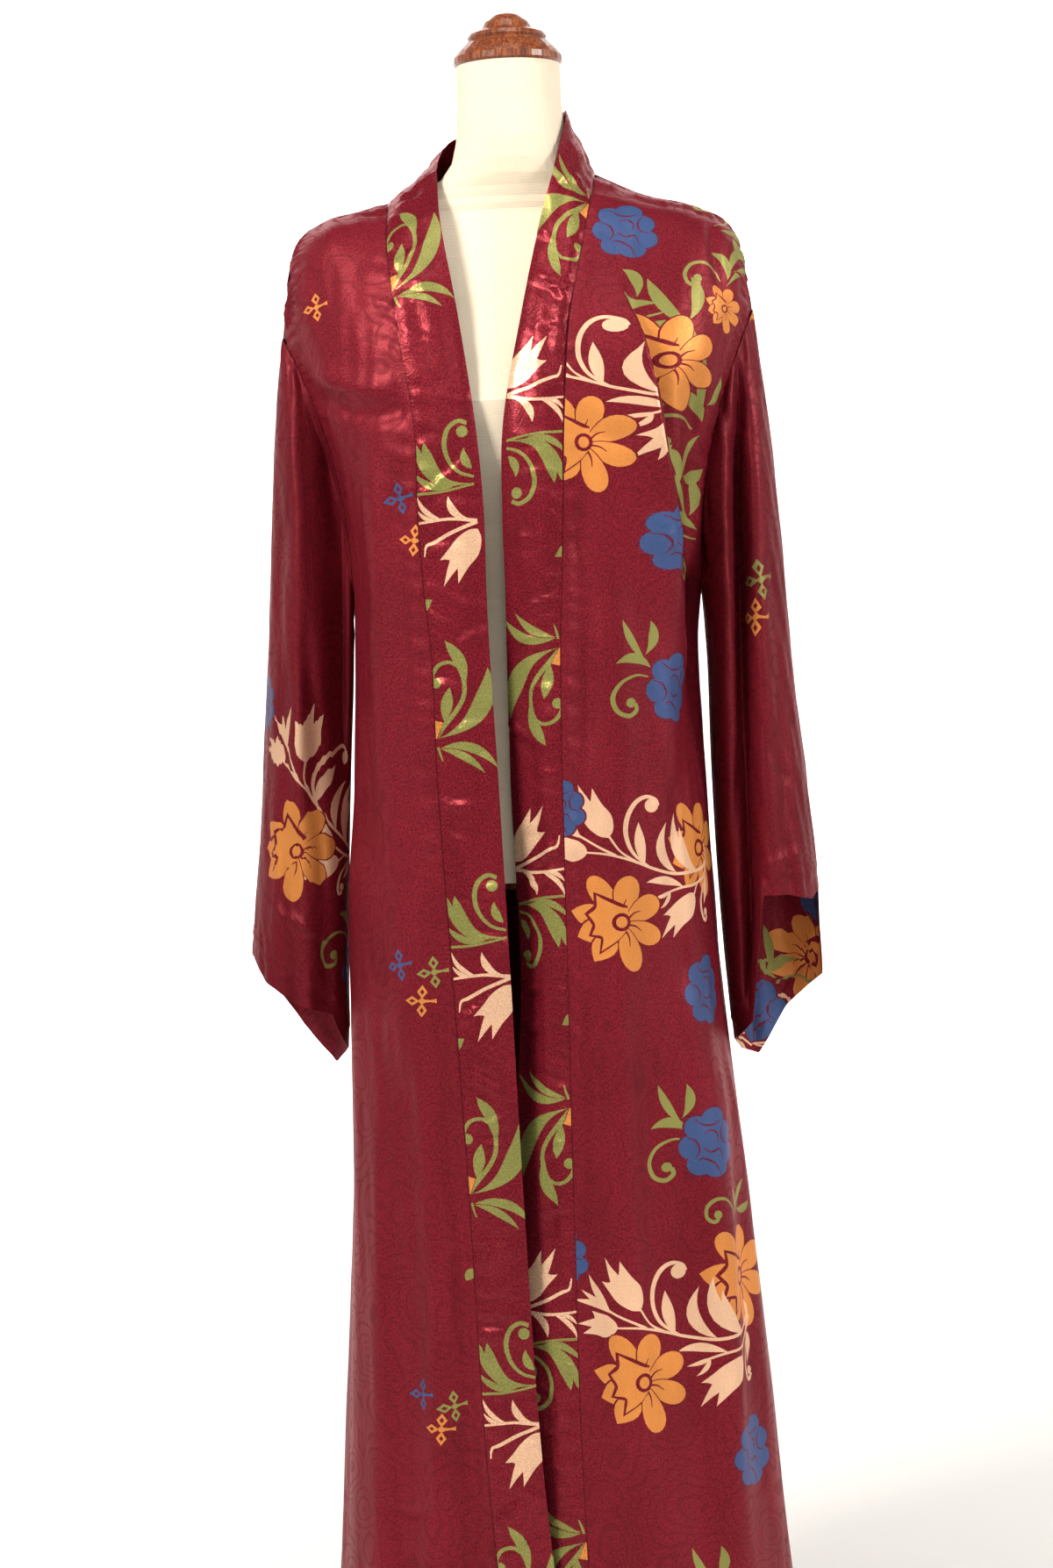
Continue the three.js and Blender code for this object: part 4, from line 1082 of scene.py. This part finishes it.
def sleeve_relief(side, p, chart, normals, fold):
    """Rows run from the armhole to the cuff; the columns up to the fold face forwards."""
    rows = chart[..., 1]
    head, cuff = np.abs(rows - rows[:1]), np.abs(rows - rows[-1:])
    seed = 0 if side == "left" else 1
    rise = 0.3 * waves(chart, 31 + seed, 60, 420) + 0.25 * waves(chart, 33 + seed, 24, 60)
    front = DEEPER * crease_field(picture(p), CREASES["sleeve_" + side])
    front[:, fold + 1 :] = 0
    front *= smooth(0, 4, fold - np.arange(p.shape[1]))[None]
    s = chart[..., 0]
    seams = np.minimum(np.abs(s - s[:, :1]), np.abs(s - s[:, -1:]))
    # the creases are pushed straight back or forwards, so that they stay where they are in the picture
    p = p - np.array([0, 1, 0]) * (front * smooth(0, 12, seams) * smooth(0, 14, head))[..., None]
    rise *= smooth(0, 20, seams) * smooth(0, 14, head) * smooth(0, 10, cuff + 6)
    across = np.stack([rows * 0.3, s], -1)
    rise += pucker(across, head, 35, 0.9, 14, 9) + turned_hem(cuff, CUFF_LINE, 0.6, 0.6)
    rise += 0.5 * pucker(across, np.abs(cuff - CUFF_LINE), 36, 0.7, 16, 7)
    return moved(p, normals, rise)


def band_relief(p, chart, normals):
    """Short slanting puckers all along the band."""
    s, t = chart[..., 0], chart[..., 1]
    rng = np.random.default_rng(41)
    rise = 0.25 * waves(chart, 42, 40, 60) + 0.7 * waves(chart, 44, 30, 260)
    at = 30.0
    while at < t.max():
        slant, height = rng.uniform(-0.5, 0.5), rng.uniform(1.4, 3.9)
        start, reach = rng.uniform(-10, 30), rng.uniform(22, 46)
        away = t - at - slant * (s - 25) - 5 * np.sin(s / 16 + at)
        along = np.exp(-(((s - start - reach / 2) / (reach / 2)) ** 2))
        ridge, trough = np.exp(-((away / 3.6) ** 2)), np.exp(-(((away - 6.5) / 5) ** 2))
        rise = rise + height * along * (ridge - 0.6 * trough)
        at += rng.uniform(14, 46)
    free = np.abs(s - s[:, -1:])
    rise = rise * smooth(0, 9, s) * smooth(-4, 6, free)
    rise += pucker(chart, s, 43, 0.6, 16, 6) + seam_dip(s, 0.8)
    return moved(p, normals, rise)


# --------------------------------------------------------------- materials
def set_inputs(n, sockets):
    """Sets a node's inputs; an underscore stands for a space in a socket's name."""
    for name, value in sockets.items():
        n.inputs[name.replace("_", " ")].default_value = value


def principled(name, **sockets):
    """A new material, its node tree and its shader, with these inputs set."""
    m = bpy.data.materials.new(name)
    m.use_nodes = True
    bsdf = m.node_tree.nodes["Principled BSDF"]
    set_inputs(bsdf, sockets)
    return m, m.node_tree, bsdf


def joined(tree, socket, value):
    """Sets a socket to a number or a colour, or links it to another node's output."""
    if isinstance(value, (int, float)):
        socket.default_value = value
    elif isinstance(value, tuple):
        socket.default_value = (*value, 1)
    else:
        tree.links.new(value, socket)


def node(tree, kind, **sockets):
    n = tree.nodes.new("ShaderNode" + kind)
    set_inputs(n, sockets)
    return n


def texture(tree, kind, vector, size=None, **sockets):
    """A texture of kind read at vector, stretched by size."""
    if size:
        mapping = node(tree, "Mapping", Scale=size)
        tree.links.new(vector, mapping.inputs["Vector"])
        vector = mapping.outputs["Vector"]
    n = node(tree, "Tex" + kind, **sockets)
    tree.links.new(vector, n.inputs["Vector"])
    return n


def noise(tree, vector, size=None, **sockets):
    return texture(tree, "Noise", vector, size, **sockets).outputs["Fac"]


def sums(tree, operation, a, b=None):
    """The output of a maths node."""
    n = node(tree, "Math")
    n.operation = operation
    joined(tree, n.inputs[0], a)
    if b is not None:
        joined(tree, n.inputs[1], b)
    return n.outputs[0]


def ramp(tree, value, low, high, to_low=0.0, to_high=1.0):
    """Goes smoothly from to_low to to_high as value goes from low to high."""
    n = node(tree, "MapRange", From_Min=low, From_Max=high, To_Min=to_low, To_Max=to_high)
    n.interpolation_type = "SMOOTHSTEP"
    tree.links.new(value, n.inputs["Value"])
    return n.outputs["Result"]


def mixed(tree, factor, a, b, blend="MIX"):
    n = node(tree, "Mix")
    n.data_type = "RGBA"
    n.blend_type = blend
    for k, value in ((0, factor), (6, a), (7, b)):  # the sockets of a mix of colours
        joined(tree, n.inputs[k], value)
    return n.outputs[2]


def bumped(tree, height, distance, strength, before=None):
    n = node(tree, "Bump", Distance=distance, Strength=strength)
    tree.links.new(height, n.inputs["Height"])
    if before is not None:
        tree.links.new(before, n.inputs["Normal"])
    return n.outputs["Normal"]


def satin_material(name, smoothest, dullest):
    """Jacquard satin: curled damask lines in the weave under a flat print."""
    m, tree, bsdf = principled(name, Metallic=0.25, Specular_IOR_Level=0.34, Specular_Tint=(1, 0.4, 0.4, 1))
    uv_map = node(tree, "UVMap")
    uv_map.uv_map = "weave"
    weave = uv_map.outputs["UV"]
    attribute = node(tree, "Attribute")
    attribute.attribute_name = "print"
    colour = attribute.outputs["Color"]
    parts = node(tree, "SeparateColor")
    tree.links.new(colour, parts.inputs[0])
    plain = ramp(tree, parts.outputs["Green"], 0.02, 0.07, 1.0, 0.15)  # 1 on the ground, less on the print

    bend = texture(tree, "Noise", weave, Scale=16.0, Detail=1.0)
    shift = node(tree, "VectorMath")
    shift.operation = "MULTIPLY_ADD"
    tree.links.new(bend.outputs["Color"], shift.inputs[0])
    shift.inputs[1].default_value = (0.045, 0.045, 0)
    tree.links.new(weave, shift.inputs[2])
    cells = texture(tree, "Voronoi", shift.outputs[0], Scale=19.0, Randomness=0.9)
    small = texture(tree, "Voronoi", shift.outputs[0], Scale=95.0, Randomness=0.8)
    rings = sums(tree, "MULTIPLY", cells.outputs["Distance"], 46.0)
    phase = sums(tree, "ADD", rings, sums(tree, "MULTIPLY", bend.outputs["Fac"], 24.0))
    lines = ramp(tree, sums(tree, "SINE", phase), 0.45, 0.95)
    buds = ramp(tree, small.outputs["Distance"], 0.16, 0.3, 1, 0)
    damask = sums(tree, "MAXIMUM", lines, sums(tree, "MULTIPLY", buds, 0.6))
    damask = sums(tree, "MULTIPLY", damask, plain)

    grain = noise(tree, weave, (560, 470, 1), Scale=1.0, Detail=2.0, Roughness=0.7)
    patches = noise(tree, weave, (1.6, 0.7, 1), Scale=11.0, Detail=3.0, Roughness=0.6)
    speckle = sums(tree, "MULTIPLY", ramp(tree, grain, 0.32, 0.68, -0.34, 0.42), plain)
    tone = sums(tree, "MULTIPLY", sums(tree, "ADD", speckle, 1.0), ramp(tree, damask, 0, 1, 1.03, 0.88))
    tone = sums(tree, "MULTIPLY", tone, ramp(tree, patches, 0.3, 0.7, 0.9, 1.1))
    grey = node(tree, "CombineColor")
    for k in range(3):
        tree.links.new(tone, grey.inputs[k])
    base = mixed(tree, 1.0, colour, grey.outputs["Color"], "MULTIPLY")
    tree.links.new(base, bsdf.inputs["Base Color"])
    shine = ramp(tree, damask, 0, 1, smoothest, dullest)
    rough = sums(tree, "ADD", shine, ramp(tree, grain, 0.3, 0.7, -0.06, 0.08))
    tree.links.new(rough, bsdf.inputs["Roughness"])

    crumple = noise(tree, weave, (1, 0.5, 1), Scale=40.0, Detail=3.0, Roughness=0.5, Distortion=0.6)
    normal = bumped(tree, patches, 0.0016, 0.35)
    normal = bumped(tree, crumple, 0.0022, 0.45, normal)
    normal = bumped(tree, damask, 0.0002, 0.3, normal)
    normal = bumped(tree, grain, 0.0007, 0.4, normal)
    tree.links.new(normal, bsdf.inputs["Normal"])
    return m


def linen_material():
    """Tight unbleached jersey over the form, with a fine knit and a few soft marks."""
    m, tree, bsdf = principled("form linen", Roughness=0.86, Sheen_Weight=0.25)
    place = node(tree, "TexCoord").outputs["Object"]
    knit = texture(tree, "Wave", place, Scale=260.0, Distortion=1.5, Detail=1.0)
    knit.bands_direction = "Z"
    fluff = noise(tree, place, Scale=700.0, Detail=2.0)
    marks = noise(tree, place, Scale=7.0, Detail=3.0)
    half_knit = sums(tree, "MULTIPLY", knit.outputs["Fac"], 0.5)
    yarn = sums(tree, "ADD", half_knit, sums(tree, "MULTIPLY", fluff, 0.5))
    marked = ramp(tree, marks, 0.35, 0.7)
    light = mixed(tree, marked, (0.95, 0.86, 0.70), (0.90, 0.79, 0.62))
    base = mixed(tree, ramp(tree, yarn, 0.2, 0.7), (0.86, 0.74, 0.56), light)
    tree.links.new(base, bsdf.inputs["Base Color"])
    tree.links.new(bumped(tree, yarn, 0.0005, 0.5), bsdf.inputs["Normal"])
    return m


def wood_material():
    """Stained and varnished turned wood with the grain along the axis."""
    m, tree, bsdf = principled("turned wood", Coat_Weight=0.35, Coat_Roughness=0.2)
    place = node(tree, "TexCoord").outputs["Object"]
    warp = noise(tree, place, (6, 6, 1), Scale=9.0, Detail=4.0, Roughness=0.6)
    pores = noise(tree, place, (14, 14, 0.7), Scale=60.0, Detail=3.0)
    streak = sums(tree, "FRACT", sums(tree, "MULTIPLY", warp, 9.0))
    tone = mixed(tree, ramp(tree, streak, 0, 0.9), (0.36, 0.10, 0.03), (0.16, 0.035, 0.012))
    tone = mixed(tree, ramp(tree, pores, 0.52, 0.66), tone, (0.06, 0.014, 0.006))
    tree.links.new(tone, bsdf.inputs["Base Color"])
    tree.links.new(ramp(tree, pores, 0.4, 0.7, 0.3, 0.5), bsdf.inputs["Roughness"])
    tree.links.new(bumped(tree, pores, 0.0004, 0.4), bsdf.inputs["Normal"])
    return m


def thread_material():
    """Twisted polyester sewing thread a little lighter than the ground."""
    m, tree, bsdf = principled("sewing thread", Roughness=0.45)
    twist = noise(tree, node(tree, "TexCoord").outputs["Object"], Scale=900.0, Detail=1.0)
    tone = mixed(tree, twist, (0.16, 0.008, 0.016), (0.34, 0.03, 0.045))
    tree.links.new(tone, bsdf.inputs["Base Color"])
    return m


satin = satin_material("printed satin", 0.4, 0.5)
band_satin = satin_material("printed satin band", 0.26, 0.35)
linen, wood, thread = linen_material(), wood_material(), thread_material()

# ------------------------------------------------------------------ pieces
front = {side: front_grid(side) for side in ("left", "right")}
back = back_grid()
band = band_grid(front["left"], front["right"], back)
sleeves = {side: sleeve_grid(side) for side in ("left", "right")}


def strip_map(p):
    """Chart of a long strip: s from its seam, t along its middle from the left hem."""
    across = np.linalg.norm(np.diff(p, axis=1), axis=-1)
    s = np.concatenate([np.zeros((len(p), 1)), np.cumsum(across, 1)], 1)
    middle = p[:, p.shape[1] // 2]
    t = np.concatenate([[0], np.cumsum(np.linalg.norm(np.diff(middle, axis=0), axis=1))])
    return np.stack([s, np.broadcast_to(t[:, None], s.shape)], -1)


SEAM_SHADE = (0.085, 0.005, 0.010)  # painted shade along the seams, darker than the ground cloth


def paint_seam_shade(prints, chart, edge, width=0.8):
    """A thin line of painted shade where two panels are sewn; edge is first, last, foot or top."""
    upright = edge in ("first", "last")
    far = edge in ("last", "top")
    run = chart[..., 0] if upright else chart[..., 1].T
    step = np.abs(run[:, -1] - run[:, -2]) if far else np.abs(run[:, 1] - run[:, 0])
    at = np.arange(len(run), dtype=float)
    outer = np.full(len(run), run.shape[1] - 1.0 if far else 0.0)
    inner = np.abs(outer - np.minimum(width / np.maximum(step, 0.5), 2))
    outline = np.concatenate([np.stack([outer, at], 1), np.stack([inner, at], 1)[::-1]])
    prints.append((SEAM_SHADE, outline if upright else outline[:, ::-1]))


PITCH, HALF_STITCH = 3.4, 1.15  # mm


def interpolated(at, length, path):
    """The point of a path at a length along it."""
    return np.array([np.interp(at, length, path[:, k]) for k in range(3)])


def stitches(name, p, normals, chart, gap, from_last):
    """Single stitches of thread along a line that stays gap mm from the first or last row."""
    t = chart[..., 1]
    away = np.abs(t - (t[-1:] if from_last else t[:1]))
    rows = np.arange(len(p), dtype=float)
    order = slice(None, None, -1) if from_last else slice(None)
    j = np.array([np.interp(gap, away[order, c], rows[order]) for c in range(p.shape[1])])
    i = np.arange(p.shape[1], dtype=float)
    path, out = sample(p, i, j), unit(sample(normals, i, j))
    length = np.concatenate([[0], np.cumsum(np.linalg.norm(np.diff(path, axis=0), axis=1))])
    verts, faces = [], []
    for at in np.arange(2, length[-1] - 2, PITCH):
        ends = [interpolated(x, length, path) for x in (at - HALF_STITCH, at + HALF_STITCH)]
        up = unit(interpolated(at, length, out))
        along = unit(ends[1] - ends[0])
        side = np.cross(up, along)
        middle = (ends[0] + ends[1]) / 2
        n = len(verts)
        verts += [ends[0] - up * 0.1, ends[1] - up * 0.1]
        verts += [middle + side * 0.28, middle + up * 0.42, middle - side * 0.28, middle - up * 0.25]
        for k in range(4):
            faces += [(n, n + 2 + k, n + 2 + (k + 1) % 4), (n + 1, n + 2 + (k + 1) % 4, n + 2 + k)]
    mesh = bpy.data.meshes.new(name)
    mesh.from_pydata((np.array(verts) * MM).tolist(), [], faces)
    mesh.shade_smooth()
    mesh.update()
    mesh.materials.append(thread)
    ob = placed(name, mesh)
    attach(ob, "root")
    return ob


def cloth(name, p, turn, chart, prints, seams, hem=None, made_of=None):
    """Makes a panel with painted seam shade lines and hem stitches."""
    # painted shade along each sewn edge of the panel
    for edge in seams:
        paint_seam_shade(prints, chart, edge)
    normals = grid_normals(p, turn)
    ob = cloth_piece(f"robe_{name}_cloth", "robe_" + name, p, normals, chart, made_of or satin, prints)
    extra = []
    if hem:
        extra = [stitches(f"robe_{name}_hem_stitches", p, normals, chart, STITCH_LINE, hem == "last")]


FORESHORTENED = 1.12  # the fronts turn away from the camera, so their motifs are wider on the cloth
for side, turn, table in (("left", 1, FRONT_LEFT_PRINT), ("right", -1, FRONT_RIGHT_PRINT)):
    p = front[side]
    chart = flat_map(p, p.shape[1] - 1, turn)
    prints = []
    stamp_all(prints, table, chart, p, None, FORESHORTENED)
    p = front_relief(side, p, chart, grid_normals(p, turn))
    cloth("front_" + side, p, turn, chart, prints, ("first", "last", "top"), "first")

back = back[:, ::2]
chart = flat_map(back, back.shape[1] // 2, 1)
prints = []
stamp_run(prints, chart, [(60, 150 + REPEAT * k) for k in range(-1, 4)])
stamp_run(prints, chart, [(-240, 30 + REPEAT * k) for k in range(4)])
back = back_relief(back, chart, grid_normals(back, -1))
cloth("back", back, -1, chart, prints, ("first", "last", "top"), "first")

for side, turn, table in (("left", -1, SLEEVE_LEFT_PRINT), ("right", 1, SLEEVE_RIGHT_PRINT)):
    p = sleeves[side]
    fold = p.shape[1] // 2
    chart = flat_map(p, fold, turn)
    chart[..., 1] = 2 * CHART_ZERO - chart[..., 1]  # the rows of a sleeve run down
    prints = []
    stamp_all(prints, table, chart, p, (0, fold))
    if side == "right":
        stamp_all(prints, CUFF_LINING_PRINT, chart, p, (fold, 2 * fold))
    across = p[0, fold, 0] - turn * 90
    stamp_run(prints, chart, [(across, 700 + REPEAT * k) for k in range(2)], (fold, 2 * fold))
    p = sleeve_relief(side, p, chart, grid_normals(p, turn), fold)
    cloth("sleeve_" + side, p, turn, chart, prints, ("first", "last", "foot"), "last")

chart = strip_map(band)
prints = []
seam = picture(band[:, 0])
half = len(band) // 2
for table, rows in ((BAND_LEFT_PRINT, np.arange(half)), (BAND_RIGHT_PRINT, np.arange(half, len(band)))):
    heights = seam[rows, 1]
    order = np.argsort(heights)
    for motif, y in table:
        stamp(prints, motif, chart, 0.0, np.interp(y, heights[order], rows[order]))
# painted shade along the band's seam
paint_seam_shade(prints, chart, "first", 0.6)
band = band_relief(band, chart, grid_normals(band, 1))
cloth("neck_band", band, 1, chart, prints, (), None, band_satin)

for name in ("form_torso", "form_neck_cap", "stand_socket", "stand_pole", "stand_base"):
    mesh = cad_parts[name].data
    mesh.materials.clear()
    mesh.materials.append(linen if name == "form_torso" else wood)


# ---------------------------------------------------------- stage and light
def bowl():
    """A round floor that curves up into a pale backdrop on every side."""
    profile = [(0, 0), (3, 0), (6, 0), (7, 0.12), (7.8, 0.5), (8.3, 1.2), (8.6, 2.4), (8.7, 5), (8.7, 9)]
    n = 64
    verts, faces = [], []
    for r, z in profile:
        verts += [(*polar(360 * a / n, r), z) for a in range(n)]
    for k in range(0, n * (len(profile) - 1), n):
        faces += [(k + a, k + (a + 1) % n, k + n + (a + 1) % n, k + n + a) for a in range(n)]
    mesh = bpy.data.meshes.new("studio_floor")
    mesh.from_pydata(verts, [], faces)
    mesh.shade_smooth()
    mesh.update()
    mesh.materials.append(principled("studio paper", Base_Color=(0.88, 0.875, 0.865, 1), Roughness=0.95)[0])
    placed("studio_floor", mesh)


# name, place, aim, size, power, colour
LIGHTS = [
    ("key", (-1.6, -1.75, 2.85), (0, 0, 1.2), (0.6, 0.6), 84, (1, 0.92, 0.82)),
    ("side", (2.9, -1.1, 2.4), (0.3, 0, 1.2), (0.8, 1.0), 66, (1, 0.93, 0.86)),
    ("front", (0.15, -3.3, 2.9), (0, 0, 1.4), (0.7, 0.7), 11, (1, 0.94, 0.88)),
    ("top", (0.1, -0.9, 3.5), (0, 0, 1.3), (1.2, 0.9), 13, (1, 0.95, 0.9)),
    ("floor_wash", (0, 3.6, 3.6), (0, 5.0, 0), (5, 3), 170, (1, 0.99, 0.97)),
    ("wall_wash", (0, 4.6, 4.4), (0, 8.7, 1.9), (6, 2), 330, (1, 0.99, 0.97)),
]

bowl()
for name, place, aim, size, power, colour in LIGHTS:
    light = bpy.data.lights.new(name, "AREA")
    light.shape = "RECTANGLE"
    light.size, light.size_y = size
    light.energy = power
    light.color = colour
    ob = placed(name, light)
    ob.location = place
    ob.rotation_euler = (Vector(aim) - Vector(place)).to_track_quat("-Z", "Y").to_euler()
world = bpy.data.worlds.new("studio")
bpy.context.scene.world = world
world.use_nodes = True
set_inputs(world.node_tree.nodes["Background"], {"Color": (1, 0.985, 0.965, 1), "Strength": 0.1})
bpy.context.scene.view_settings.view_transform = "Standard"
